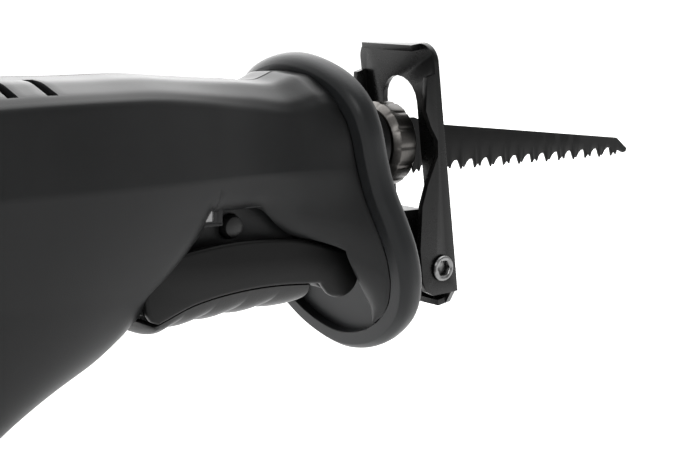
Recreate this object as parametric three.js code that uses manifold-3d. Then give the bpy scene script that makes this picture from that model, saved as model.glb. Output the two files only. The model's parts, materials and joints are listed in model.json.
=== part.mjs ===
// Compact cordless reciprocating saw, in millimetres.
// Working frame: +X along the blade, +Y to the tool's left, +Z up, origin on the blade axis
// at the rear face of the clamp ring. The whole group is shifted at the end, so that the
// exported origin is the middle of the battery's base.
import * as THREE from 'three';
import { mergeVertices } from 'three/addons/utils/BufferGeometryUtils.js';
import loadManifold from 'manifold-3d';

const wasm = await loadManifold();
wasm.setup();

// ---------------------------------------------------------------- driving dimensions
const gap = 0.3; // space kept between pieces that touch
const runGap = 0.6; // space kept beside pieces that move
const wall = 2.5; // housing wall
const radians = Math.PI / 180;

const blade = {
  thickness: 1.3, height: 19.2, tip: 128, teethStart: 19.6, toothLine: -10.8,
  toothPitch: 7.17, toothDepth: 3.0, backDrop: 3.2, tipHeight: 5.6, shankHalf: 5, holeRadius: 1.9,
};
const ring = { radius: 13.75, length: 9.3, bore: 9.3, flutes: 12, fluteDepth: 0.7 };
const sleeve = { radius: 11.6, length: 17, noseLength: 10.2, rodDepth: 8 };
const rodRadius = 5;
const crank = { radius: 9, pinRadius: 3, axleRadius: 4, discThickness: 4.6 };
const crown = { teeth: 40, pitchRadius: 17.5, outerRadius: 18.5, toothWidth: 1.0, toothRise: 0.45 };
const pinion = { teeth: 8, addendum: 0.7, rootRadius: 2.75, toothWidth: 0.7, length: 3.2 };
const bush = { wall: 3, length: 8 };
const gearWall = 1.6;
const motor = { radius: 19, length: 56, axisZ: -4, canWall: 1.6, shaftRadius: 2, airSpace: 7.5 };
const bearing = { radius: 6, length: 3.4 };
const guard = { planeX: -28, tilt: 15 * radians, thickness: 8.5, ledge: 7, plate: 2.5, mouthGap: 2.6 };
const arm = { halfWidth: 12, top: -20.8, bottom: -47, lugRadius: 3.9 };
const pivot = { x: 16.5, z: -39.9, radius: 2, headRadius: 4.2, headHeight: 1.1, socketDepth: 0.7 };
const shoe = {
  halfWidth: 18.2, sheet: 2, faceX: 6.25, lean: 8.65 * radians, top: 73, bottom: -14,
  slotHalf: 8.2, slotTop: 62, slotBottom: 15, topReturn: 5.8, lipHalf: 14,
};
const trigger = {
  halfWidth: 18.5, wall: 3, floor: 3, pivotX: -26.3, pivotZ: -37, noseRadius: 7.6,
  pinRadius: 2, tailX: -97, gripFront: -37, ribs: 5, ribDepth: 1.1,
};
const armScrews = [[-7, -27], [7, -27]];
const armScrew = { shank: 1.5, hole: 1.9, headRadius: 2.8, headHeight: 2.2, seatDepth: 4 };
const keel = { halfWidth: 12, bottom: -29.5, rear: -84, front: -17 };
const button = { radius: 3.4, halfLength: 13.2, travel: 3, x: -64, z: -19.8 };
const plunger = { radius: 2.2, x: -50 };
const spring = { x: -74, radius: 4, wire: 0.45, turns: 3 };
const battery = {
  middle: -194, base: -114, wall: 2.4, cellRadius: 9, cellLength: 65, cellGap: 0.4, endSpace: 3.1,
  neckHalf: 12, headHalf: 17, headThickness: 3, neckHeight: 3.6, splitAbove: 3.2,
};
const terminal = { rear: -186, front: -174, halfWidth: 10, bladesAt: [-6, 0, 6] };
const foot = { inset: 2.5, thickness: 10 };
const frontSlope = [[-75, -14], [-98, -46], [-112, -66]]; // where the rear body ends, side view
const vents = {
  count: 4,
  top: { first: -127, pitch: 11.5, half: 1.6 },
  side: { first: -178, pitch: 7, half: 1.3, z: [-22, -6] },
};
const tailX = -226;
const undersideZ = -14; // underside of the front body, above the trigger
const midZ = -4; // height of the crease along each side

// ---------------------------------------------------------------- derived places
const stroke = 2 * crank.radius;
const sealLength = 2.4;
const sealFront = -sleeve.length - stroke - runGap;
const snoutFront = sealFront - sealLength - gap;
const snoutRadius = rodRadius + bush.wall + 2 * gap + 2.4;
const caseInner = crown.outerRadius + 0.7;
const caseHalf = caseInner + gearWall;
const crankX = snoutFront - 36 - caseHalf + 0.9;
const yoke = {
  halfX: crank.pinRadius + 2.5, halfY: crank.radius + crank.pinRadius + 2.8, halfZ: rodRadius,
};
const yokeX = crankX + crank.radius;
const pitchZ = motor.axisZ - crown.pitchRadius * pinion.teeth / crown.teeth;
const discTop = pitchZ - 1.0;
const discBottom = discTop - crank.discThickness;
const caseBottom = discBottom - 0.8 - gearWall - 0.6;
const caseTop = 7.5;
const lidThickness = 2;
const pinionFront = crankX - crown.pitchRadius + 1.3;
const caseRearInner = crankX - crown.outerRadius - 1.4;
const bearingFront = caseRearInner - gap - 0.3;
const caseRear = bearingFront - bearing.length - 0.6;
const canFront = caseRear - runGap - 0.6;
const canRear = canFront - motor.length;
const mouthRadius = ring.radius + guard.mouthGap;
const bodyHalf = motor.radius + motor.airSpace + wall;
const bodyTop = motor.axisZ + motor.radius + motor.airSpace + wall;
const gearHalf = caseHalf + wall + 2.6;
const neckHalf = Math.max(snoutRadius, trigger.halfWidth) + wall + 0.9;
const footTop = battery.base + 2 * battery.wall + 2 * battery.cellRadius + 2 * battery.cellGap + 2.6;
const footBottom = footTop + 0.5;
const cellPitch = 2 * battery.cellRadius + battery.cellGap;
const batteryHalf = 1.5 * cellPitch + battery.wall;
const batteryReach = battery.cellLength / 2 + battery.endSpace + battery.wall;
const batteryFront = battery.middle + batteryReach;
const batteryRear = battery.middle - batteryReach;

// ---------------------------------------------------------------- shape helpers
function solidOf(geometry) {
  const plain = geometry.clone();
  for (const name of Object.keys(plain.attributes)) {
    if (name !== 'position') plain.deleteAttribute(name);
  }
  const merged = mergeVertices(plain, 1e-4);
  const index = merged.index.array;
  const position = merged.attributes.position;
  const kept = [];
  let volume = 0;
  const a = new THREE.Vector3();
  const b = new THREE.Vector3();
  const c = new THREE.Vector3();
  for (let i = 0; i < index.length; i += 3) {
    const [p, q, r] = [index[i], index[i + 1], index[i + 2]];
    if (p === q || q === r || r === p) continue;
    kept.push(p, q, r);
    a.fromBufferAttribute(position, p);
    b.fromBufferAttribute(position, q);
    c.fromBufferAttribute(position, r);
    volume += a.dot(b.cross(c));
  }
  if (volume < 0) kept.reverse();
  return new wasm.Manifold(new wasm.Mesh({
    numProp: 3,
    vertProperties: new Float32Array(position.array),
    triVerts: new Uint32Array(kept),
  }));
}

function geometryOf(solid) {
  const mesh = solid.getMesh();
  const geometry = new THREE.BufferGeometry();
  geometry.setAttribute('position', new THREE.BufferAttribute(mesh.vertProperties, 3));
  geometry.setIndex(new THREE.BufferAttribute(mesh.triVerts, 1));
  geometry.computeVertexNormals();
  return geometry;
}

function join(...solids) {
  return solids.reduce((sum, solid) => sum.add(solid));
}

function cut(solid, ...tools) {
  return tools.reduce((rest, tool) => rest.subtract(tool), solid);
}

function block(x, y, z) {
  const geometry = new THREE.BoxGeometry(x[1] - x[0], y[1] - y[0], z[1] - z[0]);
  geometry.translate((x[0] + x[1]) / 2, (y[0] + y[1]) / 2, (z[0] + z[1]) / 2);
  return solidOf(geometry);
}

// Cylinder along one axis; at gives the other two coordinates, in X, Y, Z order.
function round(axis, radius, span, at = [0, 0], sides = 16) {
  const [from, to] = [Math.min(...span), Math.max(...span)];
  const geometry = new THREE.CylinderGeometry(radius, radius, to - from, sides);
  const middle = (from + to) / 2;
  if (axis === 'x') geometry.rotateZ(-Math.PI / 2).translate(middle, at[0], at[1]);
  if (axis === 'y') geometry.translate(at[0], middle, at[1]);
  if (axis === 'z') geometry.rotateX(Math.PI / 2).translate(at[0], at[1], middle);
  return solidOf(geometry);
}

function tube(axis, radius, bore, span, at, sides) {
  const longer = [Math.min(...span) - 1, Math.max(...span) + 1];
  return cut(round(axis, radius, span, at, sides), round(axis, bore, longer, at, sides));
}

function shapeOf(points) {
  return points instanceof THREE.Shape
    ? points : new THREE.Shape(points.map(([u, v]) => new THREE.Vector2(u, v)));
}

const planes = {
  xz: new THREE.Matrix4().makeBasis(
    new THREE.Vector3(1, 0, 0), new THREE.Vector3(0, 0, 1), new THREE.Vector3(0, -1, 0)),
  yz: new THREE.Matrix4().makeBasis(
    new THREE.Vector3(0, 1, 0), new THREE.Vector3(0, 0, 1), new THREE.Vector3(1, 0, 0)),
  xy: new THREE.Matrix4(),
  guard: new THREE.Matrix4().makeBasis(
    new THREE.Vector3(0, 1, 0),
    new THREE.Vector3(-Math.sin(guard.tilt), 0, Math.cos(guard.tilt)),
    new THREE.Vector3(Math.cos(guard.tilt), 0, Math.sin(guard.tilt)),
  ).setPosition(guard.planeX, 0, 0),
};

// Flat outline carried along its plane's normal from one place to another.
// In the xz plane the span is given in Y.
function slab(plane, outline, span, bevel = 0) {
  const [from, to] = plane === 'xz' ? [-span[1], -span[0]] : span;
  const geometry = new THREE.ExtrudeGeometry(shapeOf(outline), {
    depth: to - from - 2 * bevel, bevelEnabled: bevel > 0, bevelSize: bevel,
    bevelThickness: bevel, bevelOffset: -bevel, bevelSegments: 1, curveSegments: 6,
  });
  geometry.translate(0, 0, from + bevel).applyMatrix4(planes[plane]);
  return solidOf(geometry);
}

// Closed skin over a row of rings that all have the same number of points.
function loft(rings) {
  const around = rings[0].length;
  const levels = rings.length - 1;
  const geometry = new THREE.CylinderGeometry(1, 1, 1, around, levels);
  const position = geometry.attributes.position;
  const centres = rings.map((points) => [0, 1, 2].map(
    (axis) => points.reduce((sum, point) => sum + point[axis], 0) / around));
  for (let i = 0; i < position.count; i += 1) {
    const level = Math.round((position.getY(i) + 0.5) * levels);
    const [x, z] = [position.getX(i), position.getZ(i)];
    const turn = Math.round((Math.atan2(x, z) / (2 * Math.PI)) * around + around) % around;
    const point = Math.hypot(x, z) < 0.5 ? centres[level] : rings[level][turn];
    position.setXYZ(i, ...point);
  }
  return solidOf(geometry);
}

// Smooth curve through [place, value] pairs in rising order.
function valueAt(line, x) {
  const last = line.length - 1;
  if (x <= line[0][0]) return line[0][1];
  if (x >= line[last][0]) return line[last][1];
  let i = 0;
  while (x > line[i + 1][0]) i += 1;
  const slope = (k) => {
    const [low, high] = [line[Math.max(k - 1, 0)], line[Math.min(k + 1, last)]];
    return (high[1] - low[1]) / (high[0] - low[0]);
  };
  const width = line[i + 1][0] - line[i][0];
  const t = (x - line[i][0]) / width;
  const rise = line[i][1] * (1 + 2 * t) * (1 - t) ** 2 + line[i + 1][1] * t * t * (3 - 2 * t);
  return rise + width * (slope(i) * t * (1 - t) ** 2 - slope(i + 1) * t * t * (1 - t));
}

function spread(from, to, steps) {
  return Array.from({ length: steps + 1 }, (_, i) => from + ((to - from) * i) / steps);
}

// ---------------------------------------------------------------- materials and the tree
const finishes = {
  shell: { color: 0x3a3c3f, roughness: 0.55, metalness: 0 },
  overmould: { color: 0x2b2d30, roughness: 0.7, metalness: 0 },
  blackPlastic: { color: 0x1c1d1f, roughness: 0.5, metalness: 0 },
  rubber: { color: 0x202123, roughness: 0.8, metalness: 0 },
  sheetSteel: { color: 0x141517, roughness: 0.25, metalness: 0.4 },
  nickel: { color: 0x6d665e, roughness: 0.35, metalness: 1 },
  brightSteel: { color: 0xb5b7ba, roughness: 0.3, metalness: 1 },
  darkSteel: { color: 0x3b3d40, roughness: 0.45, metalness: 1 },
  bladeBlack: { color: 0x17181a, roughness: 0.5, metalness: 0.3 },
  castAlloy: { color: 0x9a9c9e, roughness: 0.5, metalness: 1 },
  bronze: { color: 0x8f6a3a, roughness: 0.45, metalness: 1 },
  copper: { color: 0xb06a3c, roughness: 0.4, metalness: 1 },
  magnet: { color: 0x4a4b4d, roughness: 0.6, metalness: 0.2 },
  circuitGreen: { color: 0x1f5a34, roughness: 0.5, metalness: 0 },
  cellSleeve: { color: 0x2f6f8f, roughness: 0.4, metalness: 0 },
};
const materials = Object.fromEntries(
  Object.entries(finishes).map(([name, look]) => [name, new THREE.MeshStandardMaterial(look)]));

const tool = new THREE.Group();

function add(name, solid, finish) {
  const mesh = new THREE.Mesh(geometryOf(solid), materials[finish]);
  mesh.name = name;
  tool.add(mesh);
}

// ---------------------------------------------------------------- housing
const topLine = [
  [tailX, -8], [tailX + 5, 8], [tailX + 22, bodyTop - 7], [-175, bodyTop - 1.8], [-140, bodyTop],
  [-112, bodyTop], [crankX, bodyTop - 0.2], [-80, bodyTop - 1.4], [-60, bodyTop - 2.4],
  [-44, bodyTop - 2.6], [-34, bodyTop + 0.2],
];
const halfLine = [
  [tailX, bodyHalf - 10], [tailX + 5, bodyHalf - 6], [tailX + 22, bodyHalf - 2], [-185, bodyHalf],
  [-130, bodyHalf - 0.5], [-112, Math.max(bodyHalf - 1.5, gearHalf + 2)], [crankX, gearHalf + 0.6],
  [-76, gearHalf - 1.6], [-58, neckHalf], [-46, neckHalf], [-36, neckHalf + 3], [-26, neckHalf + 5],
];
const shoulderLine = [
  [tailX, -12], [tailX + 8, 4], [-190, bodyTop - 9], [-140, bodyTop - 5], [-100, bodyTop - 5],
  [-80, bodyTop - 7], [-60, bodyTop - 10], [-45, bodyTop - 11.5], [-34, bodyTop - 9],
];
const bottomLine = [
  [-300, undersideZ], [-60, undersideZ], [-56, undersideZ - 1.2], [-51, undersideZ - 6.5],
  [-47, undersideZ - 10], [-42, undersideZ - 11], [-20, undersideZ - 11.5],
];
const bellyLine = [
  [tailX, footBottom], [-166, footBottom], [-158, footBottom + 3], [-137, -71.5],
  [-122, -64], [-106, -57.5], [-92, -52], [-70, -44],
];

function barrelRing(x, inset) {
  const top = valueAt(topLine, x) - inset;
  const half = valueAt(halfLine, x) - inset;
  const shoulder = valueAt(shoulderLine, x) - inset * 0.6;
  const bottom = valueAt(bottomLine, x) + inset;
  const crease = Math.min(midZ, shoulder - 6);
  const side = [
    [half * 0.45, top - 0.7], [half * 0.78, shoulder + (top - shoulder) * 0.4], [half - 2.6, shoulder],
    [half, crease], [half - 1.2, (crease + bottom) / 2], [half - 4.5, bottom],
  ];
  const mirrored = side.slice().reverse().map(([y, z]) => [-y, z]);
  return [[0, top], ...side, [0, bottom], ...mirrored].map(([y, z]) => [x, y, z]);
}

function rearRing(x, inset) {
  const half = valueAt(halfLine, x) - inset - 0.15;
  const belly = valueAt(bellyLine, x) + inset;
  const squareness = valueAt([[-170, 0.3], [-150, 0.45], [-120, 0.75], [-100, 0.9]], x);
  return spread(0, 2 * Math.PI, 20).slice(0, 20).map((angle) => {
    const across = Math.cos(angle);
    const down = Math.sin(angle);
    const y = half * Math.sign(across) * Math.abs(across) ** squareness;
    const z = down <= 0
      ? midZ + Math.abs(down) ** squareness * (belly - midZ)
      : midZ + Math.abs(down) ** 0.3 * 4;
    return [x, y, z];
  });
}

function bodyForm(inset, everyOther = false) {
  const front = -24;
  const thin = (stations) => stations.filter((_, i) => !everyOther || i % 2 === 0);
  const barrelStations = [
    tailX + inset, tailX + 3 + inset, tailX + 9, tailX + 22, -175, -140,
    -112, -95, -80, -66, -57, -50, -44, -38, front,
  ];
  const barrel = loft(thin(barrelStations).map((x) => barrelRing(x, inset)));
  const rearStations = [tailX + inset, -190, -166, ...spread(-158, -72, 8)];
  return [barrel, loft(thin(rearStations).map((x) => rearRing(x, inset)))];
}

const guardOutlinePoints = [
  [0, 29.8], [12, 28.2], [23.2, 23.6], [30.2, 16.5], [32.8, 8], [33, -3], [34, -12],
  [37, -22], [39, -32], [38, -43], [32, -54.5], [18, -65], [0, -69.4],
];

// Guard outline, drawn in inward by a given distance.
function guardOutline(inward) {
  const mirrored = guardOutlinePoints.slice(1, -1).reverse().map(([u, v]) => [-u, v]);
  const points = [...guardOutlinePoints, ...mirrored].map(([u, v]) => new THREE.Vector3(u, v, 0));
  const curve = new THREE.CatmullRomCurve3(points, true);
  return spread(0, 1, 40).slice(0, 40).map((t) => {
    const place = curve.getPoint(t);
    const way = curve.getTangent(t);
    return [place.x + way.y * inward, place.y - way.x * inward];
  });
}

const paddleTop = [
  [trigger.tailX, -28], [-88, -25.6], [-66, -23.4], [-46, -24.4], [-33, -27.5], [-26, -30.5],
];
const paddleLow = [
  [trigger.tailX, -46.5], [-90, -43.9], [-80, -40.6], [-66, -38.6], [-51, -38.2], [-34, -39.4],
];

function nosePoints(radius, from, to) {
  return spread(from, to, 8).map((angle) => [
    trigger.pivotX + radius * Math.cos(angle * radians),
    trigger.pivotZ + radius * Math.sin(angle * radians),
  ]);
}

// Space that the trigger sweeps, seen from the side, with room all round.
function sweepOutline() {
  const lift = 10;
  return [
    [trigger.tailX - 6, -70], [trigger.tailX - 6, paddleTop[0][1] + lift],
    [-80, paddleTop[1][1] + 7.6], [-50, paddleTop[3][1] + 4], [-33, paddleTop[4][1] + 3.4],
    [guard.planeX + 7.2, -27.2], [guard.planeX + 15, -60], [-30, -70],
  ];
}

function housingSolid() {
  const [barrel, rear] = bodyForm(0);
  const [barrelHollow, rearHollow] = bodyForm(wall, true);
  const below = frontSlope[2][1];
  const ahead = [[frontSlope[0][0] - 2, -10], ...frontSlope, [0, below], [0, -10]];
  const rearBody = cut(rear, slab('xz', ahead, [-60, 60]));
  const keelOutline = [
    [keel.rear, -10], [keel.rear, keel.bottom + 3], [keel.rear + 3, keel.bottom], [-38, keel.bottom],
    [-33.5, trigger.pivotZ - 3], ...nosePoints(6, 210, 330), [keel.front - 2, -30],
    [keel.front, -24], [keel.front, -10],
  ];
  const keelHollow = [
    [keel.rear + wall, -9], [keel.rear + wall, keel.bottom + wall], [-40, keel.bottom + wall],
    [-37, -24], [-37, -9],
  ];
  const flange = slab('guard', guardOutline(guard.ledge), [-4 * gap, guard.plate]);
  const pastGuard = slab('guard', [[-90, -120], [90, -120], [90, 80], [-90, 80]], [-2 * gap, 80]);
  const outer = cut(join(barrel, rearBody), pastGuard);
  const ceiling = block([-60, -30], [-neckHalf, neckHalf], [undersideZ, undersideZ + wall]);
  const openFront = slab('guard', guardOutline(guard.ledge + wall), [-60, 20]);
  const frontHollow = barrelHollow.intersect(join(
    block([-300, -40], [-60, 60], [-60, 60]), openFront));
  let shell = cut(outer, frontHollow, rearHollow);
  shell = join(cut(join(shell, ceiling.intersect(barrel)), pastGuard), flange);
  shell = cut(shell, slab('xz', sweepOutline(), [-trigger.halfWidth - 0.8, trigger.halfWidth + 0.8]));
  const keelSolid = slab('xz', keelOutline, [-keel.halfWidth, keel.halfWidth]);
  shell = join(shell, cut(keelSolid, pastGuard));
  shell = cut(shell, slab('xz', keelHollow, [wall - keel.halfWidth, keel.halfWidth - wall]));
  const footHalf = batteryHalf - foot.inset;
  const footSolid = block([tailX, batteryFront - 2], [-footHalf, footHalf],
    [footBottom, footBottom + foot.thickness]);
  shell = join(shell, footSolid);
  return { shell, outer: join(barrel, rearBody, footSolid) };
}

const housingScrews = [
  [-212, -2], [-213, -60], [-152, -52], [-118, -36], [-67, 14.6],
];
const boss = { radius: 4, bore: 1.7, shank: 1.4, headRadius: 2.9, headHeight: 2.4, seat: 5 };

function screwSeat(x) {
  return Math.min(valueAt(halfLine, x), bodyHalf) - boss.seat - 3;
}

function makeHousing() {
  const { shell, outer } = housingSolid();
  let body = shell;
  for (const at of housingScrews) {
    const post = round('y', boss.radius, [-60, 60], at, 16).intersect(outer);
    body = join(body, post);
  }
  // Pockets for what the halves hold.
  const caseSpan = [caseRear - runGap, crankX + caseHalf + runGap];
  const pocketHalf = caseHalf + runGap;
  body = cut(body,
    block(caseSpan, [-pocketHalf, pocketHalf], [caseBottom - runGap, caseTop + lidThickness + 1]),
    round('x', snoutRadius + runGap, [crankX, 0], [0, 0]),
    round('x', mouthRadius, [-40, 10], [0, 0], 32),
    round('y', trigger.pinRadius + gap, [-60, 60], [trigger.pivotX, trigger.pivotZ], 16),
    round('y', button.radius + gap, [-16, 16], [button.x, button.z], 16),
    round('z', plunger.radius + gap, [-40, keel.bottom + wall + 1], [plunger.x, 0], 12),
    ...armScrews.map((at) => round('x', armScrew.hole, [-40, 20], at, 12)),
    ...batterySlot(), ...ventSlots());
  for (const [x, z] of housingScrews) {
    const seat = screwSeat(x);
    body = cut(body,
      round('y', boss.bore, [seat - 26, seat + 1], [x, z], 12),
      round('y', boss.headRadius + gap, [seat, 60], [x, z], 16));
  }
  const far = 400;
  const half = gap / 2;
  const left = body.intersect(block([-far, far], [half, far], [-far, far]));
  const right = body.intersect(block([-far, far], [-far, -half], [-far, far]));
  add('housing_left', left, 'shell');
  add('housing_right', right, 'shell');
  housingScrews.forEach(([x, z], i) => {
    const seat = screwSeat(x) + gap;
    const screw = join(
      round('y', boss.shank, [seat - 22, seat + 0.5], [x, z], 8),
      round('y', boss.headRadius, [seat, seat + boss.headHeight], [x, z], 12));
    const socket = round('y', 1.5, [seat + 0.9, seat + 5], [x, z], 6);
    add(`housing_screw_${i + 1}`, cut(screw, socket), 'darkSteel');
  });
}

function bothSides(inner, outer) {
  return [[-outer, -inner], [inner, outer]];
}

function ventSlots() {
  const slots = [];
  for (let i = 0; i < vents.count; i += 1) {
    const top = vents.top.first - vents.top.pitch * i;
    const side = vents.side.first - vents.side.pitch * i;
    for (const y of bothSides(7, bodyHalf - 7.5)) {
      slots.push(block([top - vents.top.half, top + vents.top.half], y, [8, 40]));
    }
    for (const y of bothSides(20, 40)) {
      slots.push(block([side - vents.side.half, side + vents.side.half], y, vents.side.z));
    }
  }
  return slots;
}

function batterySlot() {
  const rear = tailX - 5;
  const front = batteryFront - 12;
  const headLow = footTop + battery.neckHeight - battery.headThickness;
  const top = footTop + battery.neckHeight + runGap;
  const neck = battery.neckHalf + runGap;
  const head = battery.headHalf + runGap;
  return [
    block([rear, front], [-neck, neck], [footTop - 3, top]),
    block([rear, front], [-head, head], [headLow - runGap, top]),
    block([terminal.rear - 1, terminal.front + 1], [-terminal.halfWidth - 1, terminal.halfWidth + 1],
      [top - 1, top + 12]),
  ];
}

// ---------------------------------------------------------------- front guard and shoe arm
function makeGuard() {
  const body = slab('guard', guardOutline(0), [-gap, guard.thickness], 1.8);
  const pocket = slab('guard', guardOutline(guard.ledge - gap), [-5, guard.plate + gap]);
  const mouth = round('x', mouthRadius, [-60, 20], [0, 0], 32);
  let piece = cut(body, pocket, mouth);
  for (const [y, z] of armScrews) {
    piece = cut(piece, round('x', armScrew.hole, [-40, 20], [y, z], 12));
  }
  add('front_guard', piece, 'overmould');
}

function makeArm() {
  const frontAt = (z, extra) => guard.planeX + (guard.thickness + extra) / Math.cos(guard.tilt)
    - z * Math.tan(guard.tilt);
  const rearTop = frontAt(arm.top, gap);
  const lug = spread(70, -110, 8).map((angle) => [
    pivot.x + arm.lugRadius * Math.cos(angle * radians),
    pivot.z + arm.lugRadius * Math.sin(angle * radians),
  ]);
  const outline = [
    [rearTop, arm.top], [13, arm.top], [15.6, arm.top - 3], ...lug,
    [10, arm.bottom + 1], [6, arm.bottom], [frontAt(arm.bottom, gap), arm.bottom],
  ];
  let piece = slab('xz', outline, [-arm.halfWidth, arm.halfWidth]);
  const window = [[2, arm.top - 6], [11, arm.top - 6], [10, arm.bottom + 6], [2, arm.bottom + 6]];
  piece = cut(piece, slab('xz', window, [-arm.halfWidth + 3, arm.halfWidth - 3]));
  const seatAt = (z) => frontAt(z, gap) + armScrew.seatDepth;
  const pocketHalf = arm.halfWidth - 1.6;
  piece = cut(piece, block([seatAt(armScrews[0][1]), 2.6], [-pocketHalf, pocketHalf],
    [arm.top - 12, arm.top + 5]));
  piece = cut(piece, round('y', pivot.radius + gap, [-30, 30], [pivot.x, pivot.z], 16));
  for (const at of armScrews) piece = cut(piece, round('x', armScrew.hole, [-30, 0], at, 12));
  add('shoe_arm', piece, 'sheetSteel');
  armScrews.forEach(([y, z], i) => {
    const seat = seatAt(z) + gap;
    const bolt = join(
      round('x', armScrew.shank, [seat - 14, seat + 1], [y, z], 8),
      round('x', armScrew.headRadius, [seat, seat + armScrew.headHeight], [y, z], 12));
    const socket = round('x', 1.4, [seat + 0.8, seat + 5], [y, z], 6);
    add(`arm_screw_${i + 1}`, cut(bolt, socket), 'darkSteel');
  });
}

// ---------------------------------------------------------------- shoe
function leaned(solid) {
  const lean = new THREE.Matrix4().makeRotationY(-shoe.lean).setPosition(pivot.x, 0, pivot.z);
  const geometry = geometryOf(solid).applyMatrix4(lean);
  return solidOf(geometry);
}

function makeShoe() {
  const back = shoe.faceX - shoe.sheet;
  const half = shoe.halfWidth;
  const corner = 6;
  const plateOutline = new THREE.Shape();
  plateOutline.moveTo(-half, shoe.bottom + 6);
  plateOutline.lineTo(-shoe.lipHalf, shoe.bottom);
  plateOutline.lineTo(shoe.lipHalf, shoe.bottom);
  plateOutline.lineTo(half, shoe.bottom + 6);
  plateOutline.lineTo(half, shoe.top - corner);
  plateOutline.absarc(half - corner, shoe.top - corner, corner, 0, Math.PI / 2);
  plateOutline.absarc(corner - half, shoe.top - corner, corner, Math.PI / 2, Math.PI);
  const plate = slab('yz', plateOutline, [back, shoe.faceX]);
  const slot = join(
    block([-30, 30], [-shoe.slotHalf, shoe.slotHalf], [shoe.slotBottom, shoe.slotTop - shoe.slotHalf]),
    round('x', shoe.slotHalf, [-30, 30], [0, shoe.slotTop - shoe.slotHalf], 20));
  const topReturn = block([shoe.faceX - shoe.topReturn, shoe.faceX - 0.5],
    [corner - half, half - corner], [shoe.top - shoe.sheet, shoe.top]);
  const lip = block([shoe.faceX - 5.5, shoe.faceX - 0.5], [-shoe.lipHalf, shoe.lipHalf],
    [shoe.bottom, shoe.bottom + shoe.sheet]);
  const cheek = [
    [shoe.faceX, -9.5], [shoe.faceX, 63.5], [0.8, 62.8], [-1, 52.5], [0.6, 47], [3, 42], [2.6, 37],
    [-2.6, 29], [-6, 22], [-8.5, 8], [-8.6, -3], [-7.4, -6.4], [-4.6, -8.3],
  ];
  const cheeks = bothSides(half - shoe.sheet, half).map((span) => slab('xz', cheek, span));
  const holes = round('y', pivot.radius + gap, [-40, 40], [0, 0], 16);
  add('shoe', leaned(cut(join(plate, topReturn, lip, ...cheeks), slot, holes)), 'sheetSteel');

  const headInner = -(half + gap);
  const headOuter = headInner - pivot.headHeight;
  const nutInner = half + gap;
  const bolt = join(
    round('y', pivot.radius, [headInner - 1, nutInner + 3.4], [0, 0], 16),
    round('y', pivot.headRadius, [headOuter, headInner], [0, 0], 24));
  const socket = round('y', 2.6, [headOuter - 5, headOuter + pivot.socketDepth], [0, 0], 6);
  add('shoe_pivot_bolt', leaned(cut(bolt, socket)), 'brightSteel');
  const nut = cut(round('y', 4.4, [nutInner, nutInner + 3], [0, 0], 6),
    round('y', pivot.radius + gap, [0, 60], [0, 0], 16));
  add('shoe_pivot_nut', leaned(nut), 'brightSteel');
}

// ---------------------------------------------------------------- blade and clamp
function makeBladeClamp() {
  const [front, low] = [sleeve.noseLength + 0.5, blade.toothLine];
  const top = blade.toothLine + blade.height;
  const outline = [
    [-6, blade.shankHalf], [-6, -blade.shankHalf], [front, -blade.shankHalf], [front, low + 1.2],
  ];
  const rootZ = low + blade.toothDepth;
  const teeth = Math.floor((blade.tip - 3 - blade.teethStart) / blade.toothPitch);
  outline.push([blade.teethStart - blade.toothPitch * 0.55, rootZ]);
  for (let i = 0; i <= teeth; i += 1) {
    const x = blade.teethStart + i * blade.toothPitch;
    outline.push([x - 1.1, rootZ], [x, low], [x + 1.3, low + 1.1],
      [x + blade.toothPitch * 0.62, rootZ]);
  }
  const lastX = blade.teethStart + teeth * blade.toothPitch + 1.3;
  outline.pop();
  outline.push([Math.max(lastX + 0.6, blade.tip - 1.6), low + 0.9], [blade.tip, low + 2],
    [blade.tip - 5.5, low + blade.tipHeight + 1.2], [34, top - blade.backDrop - 0.4],
    [24, top - blade.backDrop + 0.9], [19, top - 0.4], [front, top], [front, blade.shankHalf]);
  const flat = slab('xz', outline, [-blade.thickness / 2, blade.thickness / 2]);
  add('blade', cut(flat, round('y', blade.holeRadius, [-5, 5], [3, 0], 12)), 'bladeBlack');

  const slotHalf = blade.thickness / 2 + gap;
  const nose = round('x', ring.bore - gap, [-1, sleeve.noseLength], [0, 0], 20);
  const body = join(round('x', sleeve.radius, [-sleeve.length, -gap], [0, 0], 20), nose);
  add('clamp_sleeve', cut(body,
    round('x', rodRadius + gap, [-sleeve.length - 1, sleeve.rodDepth - sleeve.length], [0, 0]),
    block([-7, 30], [-slotHalf, slotHalf], [-blade.shankHalf - gap, blade.shankHalf + gap]),
    round('y', 1.8, [-8.4, 8.4], [3, 0], 10)), 'blackPlastic');
  add('clamp_pin', round('y', 1.4, [-7.6, 7.6], [3, 0], 12), 'brightSteel');

  let collar = slab('yz', fluteOutline(), [0, ring.length], 0.7);
  collar = cut(collar, round('x', ring.bore, [-5, 20], [0, 0], 24));
  add('clamp_ring', collar, 'nickel');
}

function fluteOutline() {
  const perFlute = 4;
  const count = ring.flutes * perFlute;
  return spread(0, 2 * Math.PI, count).slice(0, count).map((angle, i) => {
    const radius = ring.radius - ring.fluteDepth * (1 - Math.cos((2 * Math.PI * i) / perFlute)) / 2;
    return [radius * Math.cos(angle), radius * Math.sin(angle)];
  });
}

// ---------------------------------------------------------------- slider and gearbox
function makeSlider() {
  const rodSpan = [yokeX + yoke.halfX + gap, sleeve.rodDepth - sleeve.length - gap];
  add('slider_rod', round('x', rodRadius, rodSpan, [0, 0], 24), 'brightSteel');
  const slotHalfX = crank.pinRadius + gap;
  const slotHalfY = crank.radius + crank.pinRadius + gap;
  const frame = block([yokeX - yoke.halfX, yokeX + yoke.halfX], [-yoke.halfY, yoke.halfY],
    [-yoke.halfZ, yoke.halfZ]);
  const channel = block([yokeX - slotHalfX, yokeX + slotHalfX], [-slotHalfY, slotHalfY],
    [-yoke.halfZ - 1, yoke.halfZ - 1.6]);
  add('scotch_yoke', cut(frame, channel), 'darkSteel');
}

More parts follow.
